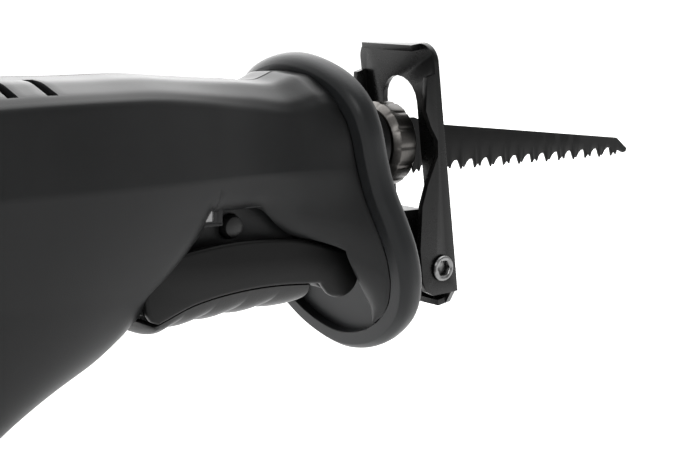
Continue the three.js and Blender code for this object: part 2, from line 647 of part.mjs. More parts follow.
function caseOutline(inset) {
  const [rear, front] = [caseRear + inset * 2.2, crankX + caseHalf - inset];
  const half = caseHalf - inset;
  const corner = 3;
  return [
    [rear, -half + corner], [rear + corner, -half], [front - corner, -half], [front, -half + corner],
    [front, half - corner], [front - corner, half], [rear + corner, half], [rear, half - corner],
  ];
}

function makeGearbox() {
  const bowl = slab('xy', caseOutline(0), [caseBottom, caseTop]);
  const hollow = slab('xy', caseOutline(gearWall).map(([x, y]) => [Math.max(x, caseRearInner), y]),
    [caseBottom + gearWall, caseTop + 5]);
  const snout = round('x', snoutRadius, [snoutFront, crankX + caseHalf - 1], [0, 0], 20);
  const bushHole = rodRadius + bush.wall + gap;
  const snoutHole = round('x', bushHole, [crankX, 0], [0, 0], 20)
    .intersect(block([crankX + caseInner - 2, 0], [-30, 30], [-30, 30]));
  const lid = block([crankX - 60, crankX + caseHalf - 1], [-40, 40], [caseTop, 30]);
  let body = join(cut(bowl, hollow), cut(snout, lid));
  body = cut(body, snoutHole,
    round('x', bearing.radius + gap, [caseRear - 1, caseRearInner + 1], [0, motor.axisZ]),
    round('z', crank.axleRadius + gap, [caseBottom - 1, discBottom], [crankX, 0]));
  add('gear_case', body, 'castAlloy');
  const top = slab('xy', caseOutline(0), [caseTop + gap, caseTop + gap + lidThickness]);
  const snoutRoom = round('x', snoutRadius + gap, [crankX + caseHalf - 1, 0], [0, 0], 20);
  add('gear_cover', cut(top, snoutRoom), 'castAlloy');

  const bushRear = crankX + caseHalf + 1;
  const bushFront = snoutFront - 0.2;
  const onRod = (radius, span) => tube('x', radius, rodRadius + gap, span, [0, 0], 16);
  const bushRadius = rodRadius + bush.wall;
  add('slider_bush_front', onRod(bushRadius, [bushFront - bush.length, bushFront]), 'bronze');
  add('slider_bush_rear', onRod(bushRadius, [bushRear, bushRear + bush.length]), 'bronze');
  add('slider_seal', onRod(snoutRadius - 0.5, [sealFront - sealLength, sealFront]), 'rubber');

  const axleSpan = [caseBottom + gap, discTop - 1];
  add('crank_axle', round('z', crank.axleRadius, axleSpan, [crankX, 0], 20), 'brightSteel');
}

function makeCrank() {
  let disc = round('z', crown.outerRadius, [discBottom, discTop], [crankX, 0], 40);
  const toothInner = crown.outerRadius - 2.6;
  for (let i = 0; i < crown.teeth; i += 1) {
    const tooth = block([toothInner, crown.outerRadius - 0.1],
      [-crown.toothWidth / 2, crown.toothWidth / 2], [discTop - 0.5, pitchZ + crown.toothRise]);
    const angle = ((i + 0.5) * 360) / crown.teeth;
    disc = join(disc, tooth.rotate([0, 0, angle]).translate([crankX, 0, 0]));
  }
  disc = cut(disc,
    round('z', crank.axleRadius + gap, [discBottom - 1, discTop + 1], [crankX, 0], 20),
    round('z', crank.pinRadius + gap, [discBottom - 1, discTop + 1], [yokeX, 0], 20));
  for (const angle of [120, 180, 240]) {
    const at = [crankX + 10 * Math.cos(angle * radians), 10 * Math.sin(angle * radians)];
    disc = cut(disc, round('z', 3, [discBottom - 1, discTop + 1], at, 16));
  }
  add('crank_gear', disc, 'darkSteel');
  // The pin stops just under the yoke, so that each can be moved alone.
  const pinSpan = [discBottom, -yoke.halfZ - 0.4];
  add('crank_pin', round('z', crank.pinRadius, pinSpan, [yokeX, 0], 20), 'brightSteel');
}

// ---------------------------------------------------------------- motor
function makeMotor() {
  const axis = [0, motor.axisZ];
  const shaftRear = canRear - 5;
  let shaft = round('x', motor.shaftRadius, [shaftRear, pinionFront], axis, 16);
  const pinionSpan = [pinionFront - pinion.length, pinionFront];
  shaft = join(shaft, round('x', pinion.rootRadius, pinionSpan, axis, 16));
  for (let i = 0; i < pinion.teeth; i += 1) {
    const tip = crown.pitchRadius * pinion.teeth / crown.teeth + pinion.addendum;
    const tooth = block(pinionSpan,
      [-pinion.toothWidth / 2, pinion.toothWidth / 2], [-tip, -motor.shaftRadius]);
    const angle = (i * 360) / pinion.teeth;
    shaft = join(shaft, tooth.rotate([angle, 0, 0]).translate([0, 0, motor.axisZ]));
  }
  add('motor_shaft', shaft, 'brightSteel');
  const bore = motor.shaftRadius + gap;
  const canBore = motor.radius - motor.canWall;
  const can = cut(round('x', motor.radius, [canRear, canFront], axis, 24),
    round('x', canBore, [canRear - 1, canFront - 2.4], axis, 24),
    round('x', bore + 1.5, [canFront - 5, canFront + 1], axis));
  add('motor_can', can, 'darkSteel');
  const magnetBore = canBore - 4.2;
  const coreSpan = [canRear + 13, canRear + 43];
  for (const [name, side] of [['magnet_left', 1], ['magnet_right', -1]]) {
    const arc = tube('x', canBore - gap, magnetBore, [coreSpan[0] - 2, coreSpan[1] + 2], axis, 24);
    const keep = block([canRear, canFront], side > 0 ? [4, 40] : [-40, -4], [-60, 60]);
    add(name, arc.intersect(keep), 'magnet');
  }
  let core = round('x', magnetBore - runGap, coreSpan, axis, 20);
  const poles = 5;
  for (let i = 0; i < poles; i += 1) {
    const slot = join(
      block([coreSpan[0] - 1, coreSpan[1] + 1], [-0.9, 0.9], [7, 30]),
      round('x', 2.6, [coreSpan[0] - 1, coreSpan[1] + 1], [0, 7], 10));
    core = cut(core, slot.rotate([(i * 360) / poles, 0, 0]).translate([0, 0, motor.axisZ]));
  }
  add('armature', cut(core, round('x', bore, [canRear, canFront], axis, 16)), 'copper');
  const commutatorRadius = 5;
  const commutatorSpan = [canRear + 4, canRear + 11];
  add('commutator', tube('x', commutatorRadius, bore, commutatorSpan, axis, 20), 'copper');
  const fanSpan = [coreSpan[1] + 2, coreSpan[1] + 7];
  let fan = round('x', canBore - 1.6, [fanSpan[0], fanSpan[0] + 1.4], axis, 20);
  const fanBlades = 7;
  for (let i = 0; i < fanBlades; i += 1) {
    const vane = block([fanSpan[0] + 1, fanSpan[1]], [-0.6, 0.6], [5, canBore - 2.2]);
    fan = join(fan, vane.rotate([(i * 360) / fanBlades, 0, 0]).translate([0, 0, motor.axisZ]));
  }
  fan = join(fan, round('x', 5.6, fanSpan, axis, 20));
  add('cooling_fan', cut(fan, round('x', bore, [canRear, canFront], axis, 16)), 'blackPlastic');
  const bearingSpan = [bearingFront - bearing.length, bearingFront];
  add('bearing_front', tube('x', bearing.radius, bore, bearingSpan, axis, 16), 'brightSteel');
  const rearBore = 4.4;
  const capSpan = [canRear - gap - 5, canRear - gap];
  add('motor_end_cap', tube('x', motor.radius - 0.2, rearBore, capSpan, axis, 24), 'blackPlastic');
  const rearSpan = [capSpan[0] + 0.6, capSpan[1] - 0.6];
  add('bearing_rear', tube('x', rearBore - gap, bore, rearSpan, axis, 20), 'brightSteel');
  bothSides(commutatorRadius + gap, canBore - 1).forEach((y, i) => {
    const brush = block([canRear + 5, canRear + 10], y, [motor.axisZ - 2.2, motor.axisZ + 2.2]);
    add(['brush_right', 'brush_left'][i], brush, 'magnet');
  });
}

// ---------------------------------------------------------------- trigger, switch and lock
function makeTrigger() {
  const half = trigger.halfWidth;
  const inner = half - trigger.wall;
  const low = spread(trigger.tailX, -34, 8).map((x) => [x, valueAt(paddleLow, x)]);
  const top = spread(-33, trigger.tailX, 8).map((x) => [x, valueAt(paddleTop, x)]);
  const outline = [...low, ...nosePoints(trigger.noseRadius, 230, 462), ...top];
  const floorAt = (x) => valueAt(paddleLow, x) + trigger.floor;
  const floorTop = spread(trigger.tailX + 3, -40, 8).map((x) => [x, floorAt(x)]);
  const hollow = [...floorTop, [-37, -60], [0, -60], [0, 0], [trigger.tailX + 3, 0]];
  const pinAt = [trigger.pivotX, trigger.pivotZ];
  let paddle = slab('xz', outline, [-half, half], 1.1);
  paddle = cut(paddle, slab('xz', hollow, [-inner, inner]),
    round('y', trigger.pinRadius + gap, [-40, 40], pinAt, 16));
  add('trigger_paddle', paddle, 'blackPlastic');
  const pin = round('y', trigger.pinRadius, [0.6 - half, half - 0.6], pinAt, 16);
  add('trigger_pin', pin, 'brightSteel');

  const gripLow = [
    [trigger.tailX + 1, -49.6], [-90, -50], [-80, -49.2], [-66, -48.2], [-50, -47.4],
    [trigger.gripFront, -47],
  ];
  const gripHalf = half - 0.8;
  const rings = spread(trigger.tailX + 1, trigger.gripFront, 20).map((x, i, all) => {
    const phase = (trigger.ribs * (x - trigger.gripFront)) / (trigger.gripFront - trigger.tailX);
    const scallop = trigger.ribDepth * Math.abs(Math.sin(Math.PI * phase));
    const end = Math.min(i, all.length - 1 - i) === 0 ? 1.2 : 0;
    const bottom = valueAt(gripLow, x) + trigger.ribDepth - scallop + end;
    const ceiling = valueAt(paddleLow, x) - gap;
    return spread(0, 2 * Math.PI, 12).slice(0, 12).map((angle) => {
      const across = Math.cos(angle);
      const down = Math.sin(angle);
      const y = (gripHalf - end) * Math.sign(across) * Math.abs(across) ** 0.7;
      const z = down > -1e-9
        ? ceiling - 0.001 * down : ceiling + Math.abs(down) ** 0.8 * (bottom - ceiling);
      return [x, y, z];
    });
  });
  add('trigger_grip', loft(rings), 'rubber');

  add('trigger_spring', coil([floorAt(spring.x) + 2 * gap, keel.bottom - gap]), 'brightSteel');
  const switchLow = keel.bottom + wall + 1;
  const plungerSpan = [floorAt(plunger.x) + gap, switchLow - 0.4];
  add('switch_plunger', round('z', plunger.radius, plungerSpan, [plunger.x, 0], 12), 'blackPlastic');
  const well = round('z', plunger.radius + gap, [-60, switchLow + 5], [plunger.x, 0], 12);
  const body = block([plunger.x - 9.5, plunger.x + 9.5], [-7.5, 7.5], [switchLow, undersideZ - 0.5]);
  add('switch_body', cut(body, well), 'blackPlastic');
}

// Compression spring standing along Z.
function coil(span) {
  const { radius, wire, turns } = spring;
  class Helix extends THREE.Curve {
    getPoint(t, target = new THREE.Vector3()) {
      const angle = 2 * Math.PI * turns * t;
      const z = span[0] + wire + (span[1] - span[0] - 2 * wire) * t;
      return target.set(spring.x + radius * Math.cos(angle), radius * Math.sin(angle), z);
    }
  }
  const section = new THREE.Shape();
  section.absarc(0, 0, wire, 0, 2 * Math.PI);
  return solidOf(new THREE.ExtrudeGeometry(section, {
    steps: turns * 9, extrudePath: new Helix(), curveSegments: 2, bevelEnabled: false,
  }));
}

function makeLock() {
  const rest = -button.travel / 2;
  const span = [rest - button.halfLength, rest + button.halfLength];
  const bar = round('y', button.radius, span, [button.x, button.z], 16);
  const waist = tube('y', 10, button.radius - 1.1, [-4, 4], [button.x, button.z], 16);
  add('lock_off_button', cut(bar, waist), 'rubber');
}

// ---------------------------------------------------------------- electronics and battery
function makeElectronics() {
  const z = footBottom + foot.thickness + 14;
  let board = block([-208, -164], [-19, 19], [z, z + 1.6]);
  for (const [x, y, height] of [[-200, -10, 6], [-200, 10, 6], [-186, 0, 3], [-174, -9, 4]]) {
    board = join(board, block([x - 3.5, x + 3.5], [y - 4, y + 4], [z + 1, z + 1.6 + height]));
  }
  add('circuit_board', board, 'circuitGreen');
  const top = footTop + battery.neckHeight + runGap;
  const baseZ = footBottom + foot.thickness + gap;
  const { rear, front, halfWidth } = terminal;
  let terminals = block([rear - 3, front + 3], [-halfWidth - 4, halfWidth + 4], [baseZ, baseZ + 7]);
  terminals = join(terminals, block([rear, front], [-halfWidth, halfWidth], [top + 0.4, baseZ + 1]));
  for (const y of terminal.bladesAt) {
    const tab = block([rear + 1, front - 1], [y - 0.4, y + 0.4], [footTop + 1.4, baseZ]);
    terminals = join(terminals, tab);
  }
  add('terminal_block', terminals, 'blackPlastic');
}

function roundedBox(x, half, z, corner) {
  const shape = new THREE.Shape();
  shape.moveTo(x[0] + corner, -half);
  shape.lineTo(x[1] - corner, -half);
  shape.absarc(x[1] - corner, corner - half, corner, -Math.PI / 2, 0);
  shape.absarc(x[1] - corner, half - corner, corner, 0, Math.PI / 2);
  shape.absarc(x[0] + corner, half - corner, corner, Math.PI / 2, Math.PI);
  shape.absarc(x[0] + corner, corner - half, corner, Math.PI, 1.5 * Math.PI);
  return slab('xy', shape, z);
}

function makeBattery() {
  const span = [batteryRear, batteryFront];
  const half = batteryHalf;
  const split = battery.base + battery.wall + battery.cellGap + battery.cellRadius + battery.splitAbove;
  const inner = [batteryRear + battery.wall, batteryFront - battery.wall];
  const innerHalf = half - battery.wall;
  const cellZ = battery.base + battery.wall + battery.cellGap + battery.cellRadius;
  const roof = cellZ + battery.cellRadius + battery.cellGap;
  let tray = cut(roundedBox(span, half, [battery.base, split], 5),
    roundedBox(inner, innerHalf, [battery.base + battery.wall, split + 1], 3.4));
  let lid = cut(roundedBox(span, half, [split + gap, footTop], 5),
    roundedBox(inner, innerHalf, [split - 1, roof], 3.4));
  const headLow = footTop + battery.neckHeight - battery.headThickness;
  const railSpan = [batteryRear + 6, batteryFront - 13];
  const railTop = footTop + battery.neckHeight;
  lid = join(lid,
    block(railSpan, [-battery.neckHalf, battery.neckHalf], [footTop - 1, railTop]),
    block(railSpan, [-battery.headHalf, battery.headHalf], [headLow, railTop]));
  for (const y of terminal.bladesAt) {
    const slot = block([terminal.rear - 0.5, batteryFront], [y - 1.1, y + 1.1],
      [footTop + 0.6, railTop + 2]);
    lid = cut(lid, slot);
  }
  const pressX = [batteryFront - 22, batteryFront - 10];
  const pressZ = [split - 10, split - 2];
  for (const window of bothSides(innerHalf - 1, half + 1)) {
    tray = cut(tray, block([pressX[0] - gap, pressX[1] + gap], window,
      [pressZ[0] - gap, pressZ[1] + gap]));
  }
  add('battery_tray', tray, 'blackPlastic');
  add('battery_lid', lid, 'blackPlastic');
  const cellRear = battery.middle - battery.cellLength / 2;
  const cellFront = battery.middle + battery.cellLength / 2;
  for (const i of [-1, 0, 1]) {
    const at = [i * cellPitch, cellZ];
    const can = round('x', battery.cellRadius, [cellRear, cellFront], at, 16);
    const nipple = round('x', 2.8, [cellFront - 1, cellFront + 1], at, 12);
    add(`battery_cell_${i + 2}`, join(can, nipple), 'cellSleeve');
  }
  bothSides(half - 1.1, half + 0.9).forEach((y, i) => {
    add(['battery_button_right', 'battery_button_left'][i], block(pressX, y, pressZ), 'overmould');
  });
}

makeHousing();
makeGuard();
makeArm();
makeShoe();
makeBladeClamp();
makeSlider();
makeGearbox();
makeCrank();
makeMotor();
makeTrigger();
makeLock();
makeElectronics();
makeBattery();

tool.position.set(-battery.middle, 0, -battery.base);
const saw = new THREE.Group();
saw.add(tool);
export default saw;
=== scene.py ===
import json
import math

import bmesh
import bpy
import numpy as np
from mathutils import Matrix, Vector
from mathutils.bvhtree import BVHTree


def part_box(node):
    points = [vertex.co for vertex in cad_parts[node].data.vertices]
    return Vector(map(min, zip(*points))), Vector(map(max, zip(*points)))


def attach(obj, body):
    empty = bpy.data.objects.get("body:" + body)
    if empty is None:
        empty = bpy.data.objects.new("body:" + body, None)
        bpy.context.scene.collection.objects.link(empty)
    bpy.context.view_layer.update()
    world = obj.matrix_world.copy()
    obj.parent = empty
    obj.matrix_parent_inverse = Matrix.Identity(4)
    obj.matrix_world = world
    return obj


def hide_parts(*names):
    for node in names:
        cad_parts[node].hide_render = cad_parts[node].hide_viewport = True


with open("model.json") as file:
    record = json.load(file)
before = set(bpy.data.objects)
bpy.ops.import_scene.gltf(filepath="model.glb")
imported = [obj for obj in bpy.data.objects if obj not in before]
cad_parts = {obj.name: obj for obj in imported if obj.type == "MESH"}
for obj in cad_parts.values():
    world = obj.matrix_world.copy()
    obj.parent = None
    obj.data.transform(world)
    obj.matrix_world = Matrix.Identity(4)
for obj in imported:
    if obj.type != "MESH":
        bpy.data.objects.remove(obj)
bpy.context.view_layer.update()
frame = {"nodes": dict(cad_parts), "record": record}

scene = bpy.context.scene

# Shapes are worked out in millimetres in the saw's own axes: X along the blade, Y to the left,
# Z up, zero on the blade axis at the rear face of the clamp ring.
ringLow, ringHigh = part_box("clamp_ring")
sawZero = np.array([ringLow[0], 0.0, (ringLow[2] + ringHigh[2]) / 2])


def toRow(points):
    return np.asarray(points, float) / 1000 + sawZero


def boxMm(node):
    low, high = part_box(node)
    return (np.array(low) - sawZero) * 1000, (np.array(high) - sawZero) * 1000


# ------------------------------------------------ camera, light, floor
camera = {"place": (-0.12292, -0.36855, 0.16504), "turn": (80.52, -1.07, -39.82), "lens": 77.14}
light = {"bright": 1.4, "dark": 0.27, "brightSide": (0.62, 0.74, 0.25), "fadeFrom": 0.05, "fadeTo": 0.6}
floorLook = {"near": 0.3, "far": 0.92, "glow": 0.45, "way": (0.64, 0.77, 0), "fadeFrom": -0.45,
             "fadeTo": 0.5, "reach": 30, "below": 0.0005}
lampTarget = (0.1, 0, 0.08)
lamps = [("overhead", (0.3, 0.5, 1.6), (2.4, 2.4), 30),
         ("farSide", (0.6, 1.5, 0.6), (1.6, 1.0), 12),
         ("viewerFill", (-0.9, -0.9, 0.8), (0.5, 0.5), 5)]


def makeCamera():
    data = bpy.data.cameras.new("camera")
    data.lens = camera["lens"]
    data.sensor_width = 36
    obj = bpy.data.objects.new("camera", data)
    obj.location = camera["place"]
    obj.rotation_euler = [math.radians(a) for a in camera["turn"]]
    scene.collection.objects.link(obj)
    scene.camera = obj


def makeLamp(name, place, size, power):
    data = bpy.data.lights.new(name, "AREA")
    data.shape = "RECTANGLE"
    data.size, data.size_y = size
    data.energy = power
    obj = bpy.data.objects.new(name, data)
    obj.location = place
    obj.rotation_euler = (Vector(lampTarget) - Vector(place)).to_track_quat("-Z", "Y").to_euler()
    scene.collection.objects.link(obj)


def fadeAlong(tree, source, way, low, high, fromValue, toValue):
    # A smooth change of value along one direction.
    along = tree.nodes.new("ShaderNodeVectorMath")
    along.operation = "DOT_PRODUCT"
    along.inputs[1].default_value = way
    fade = tree.nodes.new("ShaderNodeMapRange")
    fade.interpolation_type = "SMOOTHSTEP"
    for label, value in (("From Min", low), ("From Max", high),
                         ("To Min", fromValue), ("To Max", toValue)):
        fade.inputs[label].default_value = value
    tree.links.new(source, along.inputs[0])
    tree.links.new(along.outputs["Value"], fade.inputs["Value"])
    return fade.outputs["Result"]


def makeWorld():
    # White studio beyond the tool, dark on the other side, so black parts stay black.
    world = bpy.data.worlds.new("studio")
    world.use_nodes = True
    tree = world.node_tree
    back = tree.nodes["Background"]
    back.inputs["Color"].default_value = (1, 1, 1, 1)
    way = tree.nodes.new("ShaderNodeTexCoord").outputs["Generated"]
    strength = fadeAlong(tree, way, light["brightSide"], light["fadeFrom"], light["fadeTo"],
                         light["dark"], light["bright"])
    tree.links.new(strength, back.inputs["Strength"])
    scene.world = world


def makeFloor():
    mesh = bpy.data.meshes.new("floor")
    reach = floorLook["reach"]
    mesh.from_pydata([(-reach, -reach, 0), (reach, -reach, 0), (reach, reach, 0), (-reach, reach, 0)],
                     [], [(0, 1, 2, 3)])
    floor = bpy.data.objects.new("floor", mesh)
    floor.location.z = -floorLook["below"]
    scene.collection.objects.link(floor)
    material = bpy.data.materials.new("paintedShadeGlowFloor")
    material.use_nodes = True
    shader = material.node_tree.nodes["Principled BSDF"]
    shader.inputs["Roughness"].default_value = 0.9
    shader.inputs["Emission Color"].default_value = (1, 1, 1, 1)
    tree = material.node_tree
    # Painted shade and glow: the floor's colour and emission rise from the camera side to the far side.
    # The dark near part is painted shade that keeps the tool's camera-facing sides dark. The emission
    # makes the floor glow and light the tool from below, though it is no lamp.
    place = tree.nodes.new("ShaderNodeNewGeometry").outputs["Position"]
    paintedShadeRamp = fadeAlong(tree, place, floorLook["way"], floorLook["fadeFrom"], floorLook["fadeTo"],
                     floorLook["near"], floorLook["far"])
    glow = tree.nodes.new("ShaderNodeMath")
    glow.operation = "MULTIPLY"
    glow.inputs[1].default_value = floorLook["glow"]
    tree.links.new(paintedShadeRamp, glow.inputs[0])
    tree.links.new(paintedShadeRamp, shader.inputs["Base Color"])
    tree.links.new(glow.outputs["Value"], shader.inputs["Emission Strength"])
    mesh.materials.append(material)


def makeStage():
    scene.view_settings.view_transform = "Standard"
    makeWorld()
    makeFloor()
    for lamp in lamps:
        makeLamp(*lamp)
    print("stage and camera made")


# ------------------------------------------------ material groups
def groupNodes(name, inputs, outputs):
    tree = bpy.data.node_groups.new(name, "ShaderNodeTree")
    for label, kind, value in inputs:
        socket = tree.interface.new_socket(label, in_out="INPUT", socket_type=kind)
        socket.default_value = value
    for label, kind in outputs:
        tree.interface.new_socket(label, in_out="OUTPUT", socket_type=kind)
    return tree, tree.nodes.new("NodeGroupInput"), tree.nodes.new("NodeGroupOutput")


def makeNode(tree, kind, **values):
    node = tree.nodes.new(kind)
    for key, value in values.items():
        if key in node.inputs:
            node.inputs[key].default_value = value
        else:
            setattr(node, key, value)
    return node


surfaceOutputs = [("Colour", "NodeSocketColor"), ("Roughness", "NodeSocketFloat"),
                  ("Normal", "NodeSocketVector")]


def mapRange(tree, fromLow, fromHigh, toLow, toHigh):
    return makeNode(tree, "ShaderNodeMapRange", **{
        "From Min": fromLow, "From Max": fromHigh, "To Min": toLow, "To Max": toHigh})


def makeMouldedGrain():
    # Moulded plastic: a fine spark-eroded grain, slight cloudiness in colour and in shine.
    tree, source, result = groupNodes("mouldedGrain", [
        ("Colour", "NodeSocketColor", (0.1, 0.1, 0.1, 1)), ("Roughness", "NodeSocketFloat", 0.5),
        ("Grain Scale", "NodeSocketFloat", 2600), ("Grain Depth", "NodeSocketFloat", 0.1),
        ("Cloud", "NodeSocketFloat", 0.1)],
        surfaceOutputs)
    link = tree.links.new
    place = makeNode(tree, "ShaderNodeTexCoord")
    grain = makeNode(tree, "ShaderNodeTexNoise", Detail=2.0, Roughness=0.6)
    cloud = makeNode(tree, "ShaderNodeTexNoise", Scale=38.0, Detail=4.0)
    specks = makeNode(tree, "ShaderNodeTexVoronoi", Scale=900.0)
    link(place.outputs["Object"], grain.inputs["Vector"])
    link(place.outputs["Object"], cloud.inputs["Vector"])
    link(place.outputs["Object"], specks.inputs["Vector"])
    link(source.outputs["Grain Scale"], grain.inputs["Scale"])
    bump = makeNode(tree, "ShaderNodeBump", Distance=0.0002)
    link(source.outputs["Grain Depth"], bump.inputs["Strength"])
    link(grain.outputs["Fac"], bump.inputs["Height"])
    shade = mapRange(tree, 0.3, 0.7, 0.9, 1.12)
    link(cloud.outputs["Fac"], shade.inputs["Value"])
    tint = makeNode(tree, "ShaderNodeVectorMath", operation="SCALE")
    link(source.outputs["Colour"], tint.inputs[0])
    link(shade.outputs["Result"], tint.inputs["Scale"])
    dust = mapRange(tree, 0.0, 0.12, 1.35, 1.0)
    link(specks.outputs["Distance"], dust.inputs["Value"])
    speckled = makeNode(tree, "ShaderNodeVectorMath", operation="SCALE")
    link(tint.outputs["Vector"], speckled.inputs[0])
    link(dust.outputs["Result"], speckled.inputs["Scale"])
    spread = makeNode(tree, "ShaderNodeMath", operation="SUBTRACT")
    spread.inputs[1].default_value = 0.5
    link(cloud.outputs["Fac"], spread.inputs[0])
    shine = makeNode(tree, "ShaderNodeMath", operation="MULTIPLY_ADD")
    link(spread.outputs["Value"], shine.inputs[0])
    link(source.outputs["Cloud"], shine.inputs[1])
    link(source.outputs["Roughness"], shine.inputs[2])
    link(speckled.outputs["Vector"], result.inputs["Colour"])
    link(shine.outputs["Value"], result.inputs["Roughness"])
    link(bump.outputs["Normal"], result.inputs["Normal"])
    return tree


def makeWorkedMetal():
    # Metal: fine scratches drawn out along one axis, and slow changes in shine.
    tree, source, result = groupNodes("workedMetal", [
        ("Colour", "NodeSocketColor", (0.5, 0.5, 0.5, 1)), ("Roughness", "NodeSocketFloat", 0.3),
        ("Stretch", "NodeSocketVector", (1, 1, 1)), ("Scratch Depth", "NodeSocketFloat", 0.1),
        ("Variation", "NodeSocketFloat", 0.2)],
        surfaceOutputs)
    link = tree.links.new
    place = makeNode(tree, "ShaderNodeTexCoord")
    drawn = makeNode(tree, "ShaderNodeVectorMath", operation="MULTIPLY")
    link(place.outputs["Object"], drawn.inputs[0])
    link(source.outputs["Stretch"], drawn.inputs[1])
    scratch = makeNode(tree, "ShaderNodeTexNoise", Scale=1400.0, Detail=3.0)
    link(drawn.outputs["Vector"], scratch.inputs["Vector"])
    slow = makeNode(tree, "ShaderNodeTexNoise", Scale=90.0, Detail=3.0)
    link(place.outputs["Object"], slow.inputs["Vector"])
    bump = makeNode(tree, "ShaderNodeBump", Distance=0.0001)
    link(source.outputs["Scratch Depth"], bump.inputs["Strength"])
    link(scratch.outputs["Fac"], bump.inputs["Height"])
    both = makeNode(tree, "ShaderNodeMath", operation="ADD")
    link(scratch.outputs["Fac"], both.inputs[0])
    link(slow.outputs["Fac"], both.inputs[1])
    centred = makeNode(tree, "ShaderNodeMath", operation="SUBTRACT")
    centred.inputs[1].default_value = 1.0
    link(both.outputs["Value"], centred.inputs[0])
    shine = makeNode(tree, "ShaderNodeMath", operation="MULTIPLY_ADD")
    link(centred.outputs["Value"], shine.inputs[0])
    link(source.outputs["Variation"], shine.inputs[1])
    link(source.outputs["Roughness"], shine.inputs[2])
    shade = mapRange(tree, 0.7, 1.3, 0.85, 1.15)
    link(both.outputs["Value"], shade.inputs["Value"])
    tint = makeNode(tree, "ShaderNodeVectorMath", operation="SCALE")
    link(source.outputs["Colour"], tint.inputs[0])
    link(shade.outputs["Result"], tint.inputs["Scale"])
    link(tint.outputs["Vector"], result.inputs["Colour"])
    link(shine.outputs["Value"], result.inputs["Roughness"])
    link(bump.outputs["Normal"], result.inputs["Normal"])
    return tree


mouldedGrain = makeMouldedGrain()
workedMetal = makeWorkedMetal()


def makeMaterial(name, group, metallic, settings, coat=0.0, specular=0.5):
    material = bpy.data.materials.new(name)
    material.use_nodes = True
    tree = material.node_tree
    shader = tree.nodes["Principled BSDF"]
    shader.inputs["Metallic"].default_value = metallic
    shader.inputs["Coat Weight"].default_value = coat
    shader.inputs["Coat Roughness"].default_value = 0.1
    shader.inputs["Specular IOR Level"].default_value = specular
    detail = tree.nodes.new("ShaderNodeGroup")
    detail.node_tree = group
    for label, value in settings.items():
        detail.inputs[label].default_value = value
    tree.links.new(detail.outputs["Colour"], shader.inputs["Base Color"])
    tree.links.new(detail.outputs["Roughness"], shader.inputs["Roughness"])
    tree.links.new(detail.outputs["Normal"], shader.inputs["Normal"])
    return material


def grey(value, warm=0.0):
    return (value * (1 + warm), value, value * (1 - warm), 1)


def plastic(name, colour, roughness, depth=0.12, scale=2600.0, cloud=0.12, specular=0.4):
    return makeMaterial(name, mouldedGrain, 0.0, {
        "Colour": colour, "Roughness": roughness, "Grain Scale": scale, "Grain Depth": depth,
        "Cloud": cloud}, specular=specular)


def metal(name, colour, roughness, stretch=(1, 1, 1), depth=0.08, variation=0.2, coat=0.0, metallic=1.0,
          specular=0.5):
    return makeMaterial(name, workedMetal, metallic, {
        "Colour": colour, "Roughness": roughness, "Stretch": stretch, "Scratch Depth": depth,
        "Variation": variation}, coat, specular)


finishes = {
    "shell": plastic("housingPlastic", grey(0.013, -0.03), 0.4, depth=0.14, specular=0.32),
    "overmould": plastic("guardRubber", grey(0.017, -0.06), 0.42, depth=0.2, scale=1900.0,
                         specular=0.35),
    "black_plastic": plastic("blackPlastic", grey(0.004), 0.34, depth=0.08, specular=0.3),
    "rubber": plastic("gripRubber", grey(0.012), 0.36, depth=0.25, scale=1500.0, cloud=0.2,
                      specular=0.6),
    "sheet_steel": metal("glossBlackSteel", grey(0.005), 0.28, depth=0.015, variation=0.04,
                         coat=0.08, metallic=0.0, specular=0.3),
    "nickel": metal("darkNickel", grey(0.14, 0.05), 0.36, depth=0.02, variation=0.08),
    "bright_steel": metal("turnedSteel", grey(0.3), 0.32, depth=0.03, variation=0.1),
    "dark_steel": metal("oiledSteel", grey(0.09), 0.35, variation=0.2),
    "blade_black": metal("blackBlade", grey(0.005), 0.42, stretch=(0.06, 1, 1), depth=0.05,
                         variation=0.1, metallic=0.0, specular=0.2),
    "cast_alloy": metal("castAlloy", grey(0.42), 0.5, depth=0.3, variation=0.3),
    "bronze": metal("bushBronze", (0.42, 0.26, 0.11, 1), 0.4),
    "copper": metal("windingCopper", (0.55, 0.25, 0.13, 1), 0.35, stretch=(0.1, 1, 1), depth=0.4),
    "magnet": metal("magnetGrey", grey(0.08), 0.5, metallic=0.3),
    "circuit_green": plastic("circuitGreen", (0.02, 0.13, 0.05, 1), 0.4, depth=0.05),
    "cell_sleeve": plastic("cellSleeve", (0.05, 0.18, 0.32, 1), 0.3, depth=0.05),
}

slotOf = {row["node"]: row["material_slot"] for row in frame["record"]["subparts"]}
bodyOf = {node: body for body, nodes in frame["record"]["behaviour"]["bodies"].items() for node in nodes}


def dressCadNodes():
    for name, obj in frame["nodes"].items():
        obj.data.materials.clear()
        obj.data.materials.append(finishes[slotOf[name]])
    print("cad nodes given their materials")


# ------------------------------------------------ mesh tools
sharpAngle = math.radians(32)


def smoothLine(points, x):
    # Cubic curve through rising points, with each point's slope taken from its neighbours.
    points = np.array(points, float)
    px, pv = points[:, 0], points[:, 1]
    slope = np.gradient(pv, px) if len(px) > 2 else np.full(2, (pv[1] - pv[0]) / (px[1] - px[0]))
    chord = np.diff(pv) / np.diff(px)
    slope[0], slope[-1] = chord[0], chord[-1]
    slope[1:-1] = (pv[2:] - pv[:-2]) / (px[2:] - px[:-2])
    x = np.clip(x, px[0], px[-1])
    i = np.clip(np.searchsorted(px, x) - 1, 0, len(px) - 2)
    width = px[i + 1] - px[i]
    t = (x - px[i]) / width
    bend = width * (slope[i] * t * (1 - t) ** 2 - slope[i + 1] * t * t * (1 - t))
    return pv[i] * (1 + 2 * t) * (1 - t) ** 2 + pv[i + 1] * t * t * (3 - 2 * t) + bend


def easeStep(t):
    t = np.clip(t, 0, 1)
    return t * t * (3 - 2 * t)


